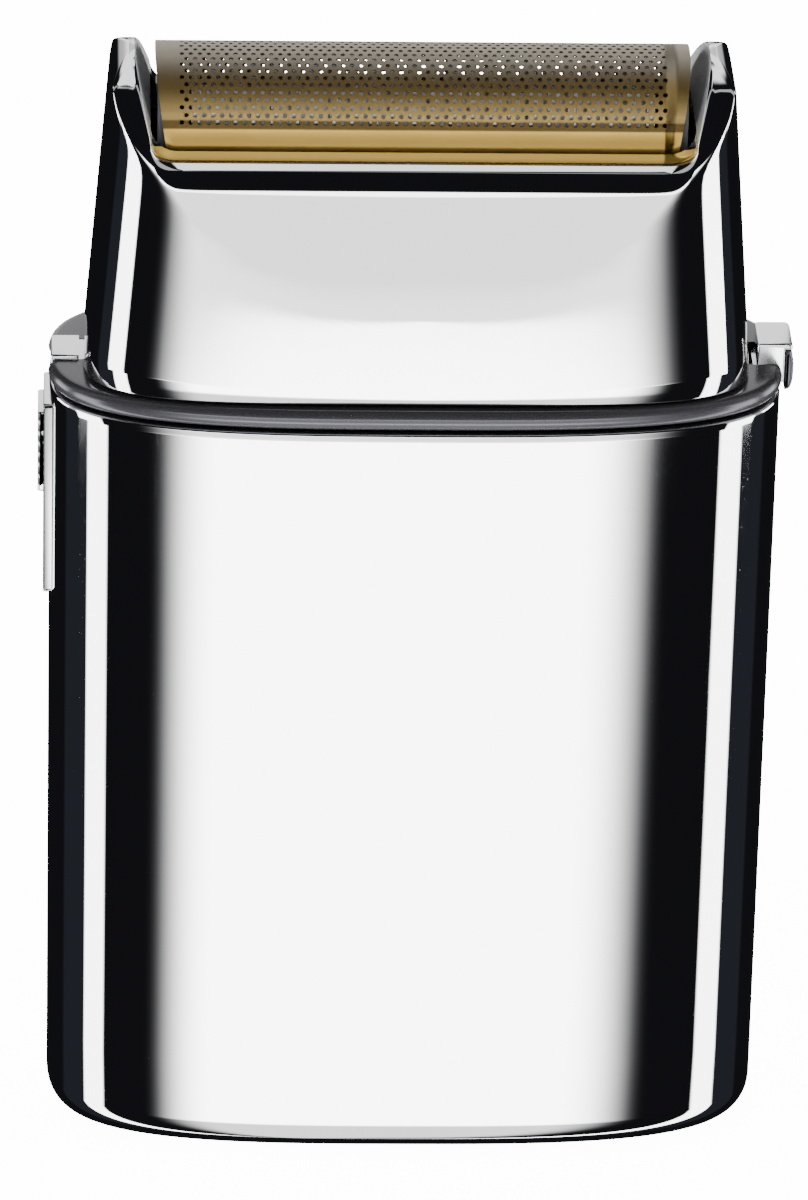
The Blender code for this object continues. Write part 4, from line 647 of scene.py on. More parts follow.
@dataclass(frozen=True)
class Laminate(Finish):
    """Circuit board under solder mask, with copper tracks that show as paler lines.

    Attributes:
        track: Colour over a track.
        pad: Colour of a bare pad.
    """

    track: tuple = (0.05, 0.2, 0.07)
    pad: tuple = (0.7, 0.6, 0.35)

    def pattern(self, bench: Bench) -> dict:
        """Tracks along the edges of Voronoi cells, and round pads at the points of another.

        Args:
            bench: The material's node tree.

        Returns:
            Links by shader socket.
        """
        spot = bench.place()
        cells = bench.node(
            "ShaderNodeTexVoronoi",
            {"feature": "DISTANCE_TO_EDGE"},
            Vector=spot,
            Scale=0.45,
            Randomness=0.35,
        )
        edge = bench.smooth(Wave(bench, cells.outputs["Distance"]), 0.05, 0.09, 1.0, 0.0)
        dots = bench.node("ShaderNodeTexVoronoi", {"feature": "F1"}, Vector=spot, Scale=0.5, Randomness=0.2)
        pad = bench.smooth(Wave(bench, dots.outputs["Distance"]), 0.15, 0.18, 1.0, 0.0)
        weave = bench.noise(7.0, 2.0)
        masked = bench.mix(edge, self.colour, self.track)
        return {
            "Base Color": bench.mix(pad, masked, self.pad),
            "Metallic": pad,
            "Roughness": self.roughness + (weave - 0.5) * 0.2,
            "Normal": bench.bump(edge + weave * 0.2, 0.25, 0.03),
        }


@dataclass(frozen=True)
class Wound(Finish):
    """Rotor: stacked iron plates with enamelled copper turns in its slots.

    Attributes:
        metallic: Always metal.
        copper: Colour of the wire.
        slots: How many slots round the rotor.
    """

    metallic: float = 1.0
    copper: tuple = (0.72, 0.27, 0.1)
    slots: float = 3.0

    def pattern(self, bench: Bench) -> dict:
        """Slots by the cosine of the turn, wires and plates by sines of the height.

        Args:
            bench: The material's node tree.

        Returns:
            Links by shader socket.
        """
        x, y, z = bench.axis("X"), bench.axis("Y"), bench.axis("Z")
        turn = bench.math("ARCTAN2", y, x)
        slot = bench.smooth(bench.math("COSINE", turn * self.slots), 0.55, 0.7)
        wires = bench.math("SINE", z * 14.0) * 0.5 + 0.5
        plates = bench.math("SINE", z * 9.0) * 0.5 + 0.5
        return {
            "Base Color": bench.mix(slot, self.colour, self.copper),
            "Roughness": self.roughness + slot * 0.1 + (wires - 0.5) * 0.15,
            "Normal": bench.bump(slot * wires + plates * 0.4, 0.4, 0.05),
        }


class Shop(Enum):
    """Every finish on the shaver."""

    CHROME = Plating(
        "mirror_chrome", (0.93, 0.935, 0.95), 0.02, shade=(0.88, 0.885, 0.9), haze=0.015, hairline=0.015
    )
    SMOKED = Plating("smoked_chrome", (0.062, 0.062, 0.068), 0.2, 0.85, shade=(0.05, 0.05, 0.056), haze=0.06)
    SATIN = Plating("satin_chrome", (0.86, 0.865, 0.88), 0.5, shade=(0.78, 0.785, 0.8), haze=0.08)
    BRIGHT = Plating("satin_metal", (0.82, 0.825, 0.84), 0.16, shade=(0.72, 0.725, 0.74), haze=0.08)
    GOLD = FoilPlate("gold_coated_foil", (0.33, 0.235, 0.09), 0.55)
    BLACK = Moulded("black_plastic", (0.012, 0.012, 0.013), 0.42, light=(0.03, 0.03, 0.032))
    BEZEL = Moulded("dark_bezel", (0.03, 0.03, 0.034), 0.3, light=(0.06, 0.06, 0.066), depth=0.01)
    GREY = Moulded("grey_chassis", (0.16, 0.165, 0.17), 0.5, light=(0.23, 0.235, 0.24))
    ACETAL = Moulded("white_acetal", (0.68, 0.67, 0.62), 0.4, light=(0.76, 0.75, 0.71), grain=4.0)
    RUBBER = Moulded("boot_rubber", (0.018, 0.018, 0.019), 0.7, light=(0.05, 0.05, 0.05), grain=9.0)
    RED = Moulded("red_lead", (0.5, 0.012, 0.01), 0.38, light=(0.62, 0.05, 0.04), grain=3.0)
    DARK_LEAD = Moulded("black_lead", (0.012, 0.012, 0.012), 0.38, light=(0.04, 0.04, 0.04), grain=3.0)
    LENS = Moulded("lamp_lens", (0.75, 0.2, 0.08), 0.12, light=(0.9, 0.35, 0.2), grain=2.0, depth=0.004)
    FERRITE = Moulded("ferrite_magnet", (0.045, 0.043, 0.045), 0.6, light=(0.09, 0.085, 0.085), grain=12.0)
    SLEEVE = CellWrap("cell_sleeve", (0.03, 0.2, 0.36), 0.3)
    LAMINATE = Laminate("board_laminate", (0.015, 0.11, 0.035), 0.35)
    NICKEL = Worked("nickel_strip", (0.62, 0.59, 0.53), 0.28, lines="Z", pitch=7.0, tarnish=(0.5, 0.45, 0.36))
    PLATED = Worked("plated_steel", (0.6, 0.61, 0.62), 0.3, lines="Z", pitch=3.0, tarnish=(0.46, 0.46, 0.45))
    GROUND = Worked("ground_steel", (0.66, 0.66, 0.67), 0.2, lines="X", pitch=9.0)
    SPRING = Worked("spring_steel", (0.5, 0.5, 0.52), 0.25, lines="X", pitch=9.0)
    # painted shade: blade steel coloured nearly black for the shade behind the foil's holes
    BLADE_IN_PAINTED_SHADE = Worked("blade_steel", (0.1, 0.095, 0.08), 0.4, lines="Y", pitch=9.0, tarnish=(0.06, 0.055, 0.045))
    BRASS = Worked("turned_brass", (0.72, 0.52, 0.22), 0.27, lines="X", pitch=7.0, tarnish=(0.45, 0.3, 0.13))
    SCREW = Worked("zinc_screw", (0.55, 0.56, 0.58), 0.3, lines="X", pitch=6.0)
    ROTOR = Wound("wound_rotor", (0.3, 0.3, 0.31), 0.4)

    @property
    def material(self) -> bpy.types.Material:
        """The finish's material."""
        return self.value.material()


# ------------------------------------------------------------------ sleeve, ring and base


@dataclass(frozen=True)
class Sleeve:
    """The chrome sleeve that is held in the hand.

    Attributes:
        half_width: Half width of the plan.
        half_depth: Half depth of the plan.
        low: Height of its foot.
        top: Height of its rim.
        wall: Thickness of the wall.
        foot_round: Radius of the rounded foot.
        opening_inset: How far the base opening lies inside the plan.
        window: Lowest height, highest height and half depth of the switch window.
        notch: Lowest height and half depth of the button's notch.
        rim: Radius of the rim's outer edge.
        edge: Chamfer where the foot meets the base opening.
        columns: Even steps round the plan.
    """

    half_width: float = 32.0
    half_depth: float = 12.7
    low: float = 0.5
    top: float = 73.0
    wall: float = 1.2
    foot_round: float = 3.6
    opening_inset: float = 4.4
    window: tuple = (52.6, 71.6, 3.9)
    notch: tuple = (72.3, 2.65)
    rim: float = 0.25
    edge: float = 0.15
    columns: int = 300

    def profile(self) -> tuple:
        """The wall's section, station by station.

        The foot is a quarter circle: inset r (1 - sin t), height r (1 - cos t). The
        rim's outer edge is a smaller one.

        Returns:
            The outer face and the inner face, each as (inset, z) pairs.
        """
        turn = np.linspace(0, math.pi / 2, 15)
        r, inner_r = self.foot_round, self.foot_round - self.wall
        levels = np.array([10, 20, 30, 40, 48, self.window[0], 62, self.window[1], self.notch[0]])
        lip = np.linspace(0, math.pi / 2, 5)
        soft = self.edge
        outer = np.concatenate(
            [
                [[self.opening_inset, self.low + soft], [self.opening_inset - soft, self.low]],
                np.stack([r * (1 - np.sin(turn)), self.low + r * (1 - np.cos(turn))], axis=1),
                np.stack([0 * levels, levels], axis=1),
                np.stack([self.rim * (1 - np.cos(lip)), self.top - self.rim + self.rim * np.sin(lip)], axis=1),
            ]
        )
        floor = self.low + self.wall
        inner = np.concatenate(
            [
                [[self.opening_inset, floor], [self.opening_inset - soft, floor]],
                np.stack([self.wall + inner_r * (1 - np.sin(turn)), floor + inner_r * (1 - np.cos(turn))], axis=1),
                np.stack([0 * levels + self.wall, levels], axis=1),
                np.stack([self.wall + 0 * lip, self.top - self.rim + self.rim * np.sin(lip)], axis=1),
            ]
        )
        inner[-1, 0] -= 0.1
        return outer, inner

    def build(self) -> None:
        """Carries the section round the plan, and leaves out the cells of the window and the notch."""
        z0, z1, window_y = self.window
        notch_z, notch_y = self.notch
        marks = [side_mark(s * window_y, self.half_depth, True) for s in (-1, 1)]
        marks += [side_mark(s * notch_y, self.half_depth, False) for s in (-1, 1)]
        angle = plan_angles(self.half_width, self.half_depth, self.columns, tuple(marks))
        faces = []
        for section in self.profile():
            inset, z = section[:, 0:1], section[:, 1:2]
            x, y = superellipse(angle[None, :], self.half_width - inset, self.half_depth - inset)
            faces.append(np.stack([x, y, z + 0 * x], axis=-1))
        outer, inner = faces
        rows, columns = outer.shape[:2]
        quads = grid_quads(rows, columns, wrap_columns=True)
        middle = outer.reshape(-1, 3)[quads].mean(axis=2)
        cut_window = (middle[..., 0] < 0) & (abs(middle[..., 1]) < window_y - 0.01)
        cut_window &= (middle[..., 2] > z0) & (middle[..., 2] < z1)
        cut_notch = (middle[..., 0] > 0) & (abs(middle[..., 1]) < notch_y - 0.01) & (middle[..., 2] > notch_z)
        kept = quads[~(cut_window | cut_notch)]
        points, faces = solid_sheet(outer.reshape(-1, 3), inner.reshape(-1, 3), kept)
        Piece("sleeve", "handle", points, faces, Shop.CHROME.material, "chrome_plate", ("body_shell",)).make()


@dataclass(frozen=True)
class Shoulder:
    """The smoked chrome bead and ledge between sleeve and head.

    Attributes:
        outer: Half width and half depth of the bead.
        opening: Half width and half depth of the opening for the neck.
        low: Height of the bead's foot.
        top: Height of the ledge.
        bead: How far the bead's section bulges.
        ledge: Half width and half depth of a station on the ledge.
        pocket_left: Half depth of the hook's pocket.
        pocket_right: Half depth of the button's pocket.
        skirt_plan: Half width and half depth of the skirt inside the sleeve.
        skirt_z: Lowest and highest height of the skirt.
        columns: Even steps round the plan.
    """

    outer: tuple = (32.15, 12.85)
    opening: tuple = (27.0, 9.6)
    low: float = 73.3
    top: float = 75.1
    bead: float = 0.88
    ledge: tuple = (29.6, 11.2)
    pocket_left: float = 2.45
    pocket_right: float = 2.65
    skirt_plan: tuple = (30.5, 11.2)
    skirt_z: tuple = (70.5, 72.95)
    columns: int = 300

    def build(self) -> None:
        """Carries the bead's section round the plan in two halves, between the two pockets."""
        turn = np.linspace(-math.pi / 2, math.pi / 2, 19)
        middle = (self.low + self.top) / 2
        rise = (self.top - self.low) / 2
        inset = self.bead * (1 - np.cos(turn))
        half_x = np.concatenate([self.outer[0] - inset, [self.ledge[0], self.opening[0] + 0.1, self.opening[0]]])
        half_y = np.concatenate([self.outer[1] - inset, [self.ledge[1], self.opening[1] + 0.1, self.opening[1]]])
        z = np.concatenate([middle + rise * np.sin(turn), [self.top, self.top, self.top - 0.1]])
        half_x = np.concatenate([half_x, [self.opening[0]]])
        half_y = np.concatenate([half_y, [self.opening[1]]])
        z = np.concatenate([z, [self.low]])
        marks = [side_mark(s * self.pocket_left, self.outer[1], True) for s in (-1, 1)]
        marks += [side_mark(s * self.pocket_right, self.outer[1], False) for s in (-1, 1)]
        angle = plan_angles(*self.outer, self.columns, tuple(marks))
        points, faces, total = [], [], 0
        for low, high in ((marks[0], marks[2]), (marks[3], marks[1])):
            span = angle[(angle > low - 1e-9) & (angle < high + 1e-9)]
            x, y = superellipse(span[None, :], half_x[:, None], half_y[:, None])
            block = np.stack([x, y, z[:, None] + 0 * x], axis=-1)
            rows, columns = block.shape[:2]
            faces += (grid_quads(rows, columns, wrap_rows=True).reshape(-1, 4) + total).tolist()
            faces.append((np.arange(rows) * columns + total).tolist())
            faces.append((np.arange(rows)[::-1] * columns + columns - 1 + total).tolist())
            points.append(block.reshape(-1, 3))
            total += rows * columns
        skirt = self.skirt()
        faces += (skirt[1] + total).tolist()
        points.append(skirt[0])
        Piece(
            "shoulder",
            "handle",
            np.concatenate(points),
            ragged(faces),
            Shop.SMOKED.material,
            "dark_chrome",
            ("shoulder_ring",),
        ).make()

    def skirt(self) -> tuple:
        """The upright band below the bead that plugs into the sleeve: a rectangular section round the plan."""
        half_x, half_y = np.repeat([self.skirt_plan, self.opening], 2, axis=0).T
        low, high = self.skirt_z
        angle = plan_angles(*self.skirt_plan, 160)
        z = np.array([low, high, high, low])
        x, y = superellipse(angle[None, :], half_x[:, None], half_y[:, None])
        block = np.stack([x, y, z[:, None] + 0 * x], axis=-1)
        return block.reshape(-1, 3), grid_quads(4, len(angle), wrap_rows=True, wrap_columns=True).reshape(-1, 4)


# ------------------------------------------------------------------ head


@dataclass(frozen=True)
class Head:
    """The chrome head: a tapering neck with a rolled face, two horns and a saddle between them.

    Attributes:
        foot_z: Height of its foot.
        ledge_z: Height at which the neck has its full width.
        top_z: Height of the horns.
        neck_half_width: Half width at the ledge.
        taper: Loss of half width for each unit of height.
        half_depth: Half depth of the neck.
        power: Exponent of the plan.
        roll_z: Height where the face starts to roll back.
        roll_depth: How far it rolls back at the lip.
        roll_power: Exponent of the roll.
        lip_z: Height where the roll ends.
        arc_z: Height of the centre of the horns' side arch.
        saddle_half: Half width of the saddle at its walls.
        saddle_z: Height of the saddle.
        saddle_round: Radius between saddle and horn.
        horn_round: Width and height of the horn's outer corner.
        hole_half_depth: Half depth of the foil's opening.
        roof_z: Height of the roof inside.
        wall: Thickness of the wall.
        lip: Radius of the saddle's front edge.
        crease: Width of the blend between face and side.
        corner_share: Share of the depth at which the horn's corner ends.
        horn_reach: Half width that the horn's corner is measured with.
    """

    foot_z: float = 75.4
    ledge_z: float = 75.1
    top_z: float = 104.0
    neck_half_width: float = 29.15
    taper: float = 0.082
    half_depth: float = 11.74
    power: float = 4.2
    roll_z: float = 83.5
    roll_depth: float = 1.22
    roll_power: float = 2.67
    lip_z: float = 95.2
    arc_z: float = 88.5
    saddle_half: float = 23.4
    saddle_z: float = 96.9
    saddle_round: float = 2.3
    horn_round: tuple = (2.0, 3.1)
    hole_half_depth: float = 6.3
    roof_z: float = 95.3
    wall: float = 1.2
    lip: float = 1.9
    crease: float = 0.22
    corner_share: float = 0.735
    horn_reach: float = 26.9

    def half_width(self, z: Number) -> Number:
        """Half width of the neck: it narrows evenly upwards."""
        return self.neck_half_width - self.taper * (z - self.ledge_z)

    def side_depth(self, z: np.ndarray) -> np.ndarray:
        """Half depth seen from the side: upright, then b - d ((z - z0) / h)^p, then an ellipse over the top."""
        part = np.maximum(z - self.roll_z, 0) / (self.lip_z - self.roll_z)
        rolled = self.half_depth - self.roll_depth * part**self.roll_power
        rise = self.top_z - self.arc_z
        lip_depth = self.half_depth - self.roll_depth
        full = math.sqrt(1 - ((self.lip_z - self.arc_z) / rise) ** 2)
        arch = lip_depth / full * np.sqrt(np.clip(1 - ((z - self.arc_z) / rise) ** 2, 0, None))
        return np.where(z <= self.lip_z, rolled, arch)

    def crease_height(self, share: np.ndarray) -> np.ndarray:
        """Height at which the rolled face meets the rounded side, for each column."""
        part = (self.half_depth * (1 - share) / self.roll_depth) ** (1 / self.roll_power)
        rolled = self.roll_z + (self.lip_z - self.roll_z) * part
        rise = self.top_z - self.arc_z
        lip_depth = self.half_depth - self.roll_depth
        full = math.sqrt(1 - ((self.lip_z - self.arc_z) / rise) ** 2)
        reach = np.clip(self.half_depth * share * full / lip_depth, 0, 1)
        return np.where(rolled <= self.lip_z, rolled, self.arc_z + rise * np.sqrt(1 - reach**2))

    def top_line(self) -> tuple:
        """The head's front-view outline above the neck, from the right side to the middle.

        Returns:
            x, z and edge radius along it, and the number of the column where the
            opening ends: a quarter ellipse over the horn's outer corner, a slope down
            the horn's inner face, a quarter circle into the saddle and the flat saddle.
        """
        across, rise = self.horn_round
        start_z = self.top_z - rise
        share = np.linspace(0, self.corner_share, 19)
        ratio = (1 - share**self.power) ** (1 / self.power)
        turn = np.arccos(np.clip(1 - (1 - ratio) * self.horn_reach / across, 0, 1))
        turn = np.concatenate([turn[:-1], [math.pi / 2]])
        z = start_z + rise * np.sin(turn)
        x = self.half_width(z) - across * (1 - np.cos(turn))
        edge = 0.25 + 0.35 * np.sin(turn)
        end_z = self.saddle_z + self.saddle_round
        slope = np.array([0.03, 0.08, 0.2, 0.35, 0.5, 0.65, 0.8, 0.92, 1.0])
        slope_z = self.top_z + (end_z - self.top_z) * slope
        slope_x = x[-1] + (self.saddle_half - x[-1]) * slope
        turn = np.linspace(0, math.pi / 2, 11)[1:]
        flat = self.saddle_half - self.saddle_round
        round_x = flat + self.saddle_round * np.cos(turn)
        round_z = end_z - self.saddle_round * np.sin(turn)
        steps = np.linspace(flat, 0, 39)[1:]
        x = np.concatenate([x, slope_x, round_x, steps])
        z = np.concatenate([z, slope_z, round_z, 0 * steps + self.saddle_z])
        slope_edge = np.linspace(0.6, 0.75, len(slope))
        round_edge = 0.75 + (self.lip - 0.75) * np.sin(turn) ** 2
        edge = np.concatenate([edge, slope_edge, round_edge, 0 * steps + self.lip])
        return x, z, edge, 19 + len(slope) - 1

    @staticmethod
    def soft_least(first: Number, second: Number, width: Number) -> np.ndarray:
        """The lesser of two surfaces with a rounded crease: (p + q - sqrt((p - q)^2 + w^2)) / 2."""
        return (first + second - np.sqrt((first - second) ** 2 + width**2)) / 2

    def face_depth(self, z: np.ndarray, share: np.ndarray) -> np.ndarray:
        """Half depth of the outer surface at a height, for columns at a share of the full depth."""
        width = self.crease * np.clip((z - self.roll_z) / 6, 0, 1)
        depth = self.soft_least(self.half_depth * share, self.side_depth(z), width)
        return np.where(share <= 0, 0.0, np.clip(depth, 0, None))

    def build(self) -> None:
        """Builds the wall from columns that climb the front, cross the top and go down the back."""
        x_top, z_top, edge, hole_end = self.top_line()
        ratio = x_top / self.half_width(z_top)
        share = np.clip(1 - ratio**self.power, 0, None) ** (1 / self.power)
        y_top = self.face_depth(z_top, share)
        reach = np.minimum(edge, 0.9 * y_top)
        low_z = z_top - edge
        crest = np.minimum(self.crease_height(share), low_z - 0.05)
        ease = np.sin(np.linspace(0, math.pi / 2, 18))[:, None]
        foot = np.array([0.0, 0.06, 0.2])[:, None]
        lower = self.foot_z + 0.2 + (crest - self.foot_z - 0.2) * ease
        upper = crest + (low_z - crest) * np.linspace(0, 1, 18)[1:, None] ** 1.3
        z_rows = np.concatenate([self.foot_z + foot[:-1] + 0 * crest, lower, upper])
        inset = np.zeros((len(z_rows), 1))
        inset[0], inset[1] = 0.2, 0.06
        x_rows = (self.half_width(z_rows) - inset) * ratio
        y_rows = np.clip(self.face_depth(z_rows, share) - inset * share, 0, None)
        step = np.linspace(0, 1, 9)[1:, None]
        ease_a, ease_b, ease_c = (1 - step) ** 2, 2 * step * (1 - step), step**2
        lip_x = ease_a * x_rows[-1] + (ease_b + ease_c) * x_top
        lip_y = ease_a * y_rows[-1] + ease_b * y_top + ease_c * (y_top - reach)
        lip_z = ease_a * z_rows[-1] + (ease_b + ease_c) * z_top
        y_land = y_top - reach
        hole = np.where(
            np.arange(len(x_top)) >= hole_end,
            self.hole_half_depth,
            self.hole_half_depth * y_land / y_land[hole_end],
        )
        land = np.linspace(0, 1, 4)[1:, None]
        land_y = y_land + (hole - y_land) * land
        across = hole * np.linspace(1, -1, 9)[1:-1, None]
        flat_x = np.ones((len(land) + len(across), 1)) * x_top
        flat_z = np.ones((len(land) + len(across), 1)) * z_top
        x_half = np.concatenate([x_rows, lip_x, flat_x[: len(land)]])
        y_half = np.concatenate([y_rows, lip_y, land_y])
        z_half = np.concatenate([z_rows, lip_z, flat_z[: len(land)]])
        outer = np.stack(
            [
                np.concatenate([x_half, flat_x[len(land) :], x_half[::-1]]),
                np.concatenate([-y_half, -across, y_half[::-1]]),
                np.concatenate([z_half, flat_z[len(land) :], z_half[::-1]]),
            ],
            axis=-1,
        )
        inner = self.inner_face(x_top, ratio, hole_end, len(z_half), len(land), hole, across)
        rows = outer.shape[0]
        outer = np.concatenate([outer, (outer * [-1, 1, 1])[:, ::-1][:, 1:]], axis=1)
        inner = np.concatenate([inner, (inner * [-1, 1, 1])[:, ::-1][:, 1:]], axis=1)
        columns = outer.shape[1]
        quads = grid_quads(rows, columns)
        open_rows = np.zeros(rows - 1, dtype=bool)
        open_rows[len(z_half) - 1 : rows - len(z_half)] = True
        open_columns = np.zeros(columns - 1, dtype=bool)
        open_columns[hole_end : columns - 1 - hole_end] = True
        kept = quads[~(open_rows[:, None] & open_columns[None, :])]
        points, faces = solid_sheet(outer.reshape(-1, 3), inner.reshape(-1, 3), kept)
        x, y, z = np.abs(points[:, 0]), np.abs(points[:, 1]), points[:, 2]
        line_z = np.interp(x, x_top[::-1], z_top[::-1])
        satin = (x < x_top[17] + 0.01) & (x > self.saddle_half - 0.25) & (z > self.roof_z + 0.5) & (z > line_z - 0.3)
        satin = satin & (y < np.interp(z, z_top[17:40][::-1], y_top[17:40][::-1]) + 0.6)
        Piece(
            "head",
            "head",
            points,
            faces,
            Shop.CHROME.material,
            "chrome_plate",
            ("head_shell",),
            second=Shop.SATIN.material,
            second_faces=satin,
        ).make()

    def inner_face(
        self,
        x_top: np.ndarray,
        ratio: np.ndarray,
        hole_end: int,
        climb: int,
        land_rows: int,
        hole: np.ndarray,
        across: np.ndarray,
    ) -> np.ndarray:
        """The hollow side of the wall on the outer face's grid: the neck inset by the wall, under a flat roof.

        Args:
            x_top: x of each column where it crosses the top.
            ratio: That x as a share of the neck's half width.
            hole_end: Number of the column at the end of the foil's opening.
            climb: Rows from the foot to the edge of the opening.
            land_rows: How many of them lie on the land beside the opening.
            hole: Half depth of the opening at each column.
            across: y of the rows that cross the opening.

        Returns:
            The points, in rows and columns.
        """
        roof_half = self.half_width(self.roof_z) - self.wall
        edge_ratio = ratio[hole_end]
        horn = self.saddle_half + (roof_half - self.saddle_half) * (ratio - edge_ratio) / (1 - edge_ratio)
        x_roof = np.where(np.arange(len(x_top)) >= hole_end, x_top, horn)
        inner_ratio = np.clip(x_roof / roof_half, 0, 1)
        inner_share = np.clip(1 - inner_ratio**self.power, 0, None) ** (1 / self.power)
        rows = climb - land_rows
        rise = np.linspace(0, 1, rows)[:, None]
        z = self.foot_z + (self.roof_z - self.foot_z) * rise + 0 * x_top
        x = (self.half_width(z) - self.wall) * inner_ratio
        depth = self.soft_least((self.half_depth - self.wall) * inner_share, self.side_depth(z) - self.wall, 0.1)
        y = np.where(inner_share <= 0, 0.0, np.clip(depth, 0, None))
        land = np.linspace(0, 1, land_rows + 1)[1:, None]
        edge_y = np.where(inner_share <= 0, 0.0, hole)
        edge_y = np.minimum(edge_y, 0.9 * y[-1])
        land_y = y[-1] + (edge_y - y[-1]) * land
        middle_y = across / np.maximum(hole, 1e-9) * edge_y
        x_half = np.concatenate([x, x_roof + 0 * land_y])
        y_half = np.concatenate([y, land_y])
        z_half = np.concatenate([z, self.roof_z + 0 * land_y])
        return np.stack(
            [
                np.concatenate([x_half, x_roof + 0 * middle_y, x_half[::-1]]),
                np.concatenate([-y_half, -middle_y, y_half[::-1]]),
                np.concatenate([z_half, self.roof_z + 0 * middle_y, z_half[::-1]]),
            ],
            axis=-1,
        )


@dataclass(frozen=True)
class Hook:
    """The bright block in the ledge at the head's left.

    Attributes:
        half_y: Half length along Y.
        radius: Radius of its rims.
        reach: x of its outer face, of the neck's wall and of its inner end.
        levels: Heights of its foot, its inner top and its outer top.
    """

    half_y: float = 2.15
    radius: float = 0.25
    reach: tuple = (-31.9, -29.43, -27.3)
    levels: tuple = (73.35, 75.1, 75.5)

    def build(self) -> None:
        """A stepped outline in X and Z carried along Y."""
        outer, wall, inner = self.reach
        foot, ledge, top = self.levels
        outline = np.array(
            [
                [outer, foot],
                [inner, foot],
                [inner, ledge],
                [wall, ledge],
                [wall, top],
                [outer + self.radius, top],
                [outer + 0.4 * self.radius, top - 0.24 * self.radius],
                [outer, top - self.radius],
            ]
        )
        points, faces = slab(outline, self.half_y, self.radius)
        Piece("hook", "head", points, ragged(faces), Shop.BRIGHT.material, "bright_metal", ("head_hook",)).make()


BORDER_MARK = 1000.0


@dataclass(frozen=True)
class Foil:
    """The arched shaving foil with its etched holes, plain borders and plain strip.

    Attributes:
        half_depth: Half depth of the arch.
        crown_z: Height of the crown.
        spring_z: Height where the arch starts.
        foot_z: Height of its foot.
        crown_half: Half length at the crown.
        foot_half: Half length at the foot.
        thickness: Thickness of the sheet.
        mesh_half: Half length of the mesh.
        across: Holes in a full row.
        rows: Rows over the arch.
        plain: Width of the plain strip.
        hole: Radius of a hole.
        groove_gap: From the strip's edge to the middle of the groove.
        groove_depth: Depth of the groove.
        groove_width: Half width of the groove.
    """

    half_depth: float = 5.6
    crown_z: float = 104.0
    spring_z: float = 99.0
    foot_z: float = 95.3
    crown_half: float = 23.05
    foot_half: float = 21.85
    thickness: float = 0.16
    mesh_half: float = 21.12
    across: int = 55
    rows: int = 25
    plain: float = 3.62
    hole: float = 0.205
    groove_gap: float = 0.62
    groove_depth: float = 0.14
    groove_width: float = 0.22

    def arch(self) -> tuple:
        """Arc length, y, z and outward normal along the arch: upright, half ellipse, upright."""
        turn = np.linspace(math.pi, 0, 1201)
        y = self.half_depth * np.cos(turn)
        z = self.spring_z + (self.crown_z - self.spring_z) * np.sin(turn)
        y = np.concatenate([[-self.half_depth] * 40, y, [self.half_depth] * 40])
        up = np.linspace(self.foot_z, self.spring_z, 41)[:-1]
        z = np.concatenate([up, z, up[::-1]])
        length = np.concatenate([[0.0], np.cumsum(np.hypot(np.diff(y), np.diff(z)))])
        slope_y, slope_z = np.gradient(y, length), np.gradient(z, length)
        size = np.hypot(slope_y, slope_z)
        return length, y, z, -slope_z / size, slope_y / size

    def end(self, z: np.ndarray) -> np.ndarray:
        """Half length of the foil at a height: its ends slope in towards the foot."""
        slope = (self.crown_half - self.foot_half) / (self.crown_z - self.foot_z)
        return self.crown_half - slope * (self.crown_z - z)

    def cells(self, total: float) -> tuple:
        """The pattern laid flat: (s, t) points and quads.

        Bricks in staggered rows, each with eight points round its edge joined to
        eight round its hole; half bricks fill the row ends; plain strips and
        borders go round them. s is a length along X and t runs over the arch. In a
        border s is BORDER_MARK, signed, plus a share of the border's width.

        Args:
            total: Length over the arch.

        Returns:
            Points and quads.
        """
        pitch = 2 * self.mesh_half / self.across
        height = (total - 2 * self.plain) / self.rows
        edge = np.array([[-1, -1], [0, -1], [1, -1], [1, 0], [1, 1], [0, 1], [-1, 1], [-1, 0]]) / 2.0
        angle = np.radians(np.array([-135, -90, -45, 0, 45, 90, 135, 180]))
        ring = self.hole * np.stack([np.cos(angle), np.sin(angle)], axis=1)
        brick = np.concatenate([edge * [pitch, height], ring])
        k = np.arange(8)
        brick_quads = np.stack([k, (k + 1) % 8, (k + 1) % 8 + 8, k + 8], axis=1)
        points, quads, count = [], [], 0
        for row in range(self.rows):
            odd = row % 2
            number = self.across - odd
            s = (np.arange(number) - (number - 1) / 2) * pitch
            t = self.plain + (row + 0.5) * height
            points.append((brick[None] + np.stack([s, 0 * s + t], axis=1)[:, None]).reshape(-1, 2))
            quads.append((brick_quads[None] + 16 * np.arange(number)[:, None, None]).reshape(-1, 4) + count)
            count += 16 * number
            if odd:
                for side in (-1, 1):
                    s = np.sort(side * np.array([self.mesh_half, self.mesh_half - pitch / 2]))
                    block = np.stack(np.meshgrid(s, t + height * np.array([-0.5, 0, 0.5])), axis=-1)
                    points.append(block.reshape(-1, 2))
                    quads.append(grid_quads(3, 2).reshape(-1, 4) + count)
                    count += 6
        inner_s = np.linspace(-self.mesh_half, self.mesh_half, 2 * self.across + 1)
        levels = self.plain + np.arange(2 * self.rows + 1) * height / 2
        strip = np.concatenate([np.linspace(0, self.plain, 13)])
        for side in (-1, 1):
            border = side * np.array([1.0, 0.5, 0.0])
            for t in (levels, strip, total - strip):
                order = np.sort(t)
                block = np.stack(np.meshgrid(BORDER_MARK * side + border, order), axis=-1)
                points.append(block.reshape(-1, 2))
                quads.append(grid_quads(len(order), 3).reshape(-1, 4) + count)
                count += 3 * len(order)
        for t in (strip, np.sort(total - strip)):
            block = np.stack(np.meshgrid(inner_s, t), axis=-1)
            points.append(block.reshape(-1, 2))
            quads.append(grid_quads(len(t), len(inner_s)).reshape(-1, 4) + count)
            count += len(t) * len(inner_s)
        return np.concatenate(points), np.concatenate(quads)

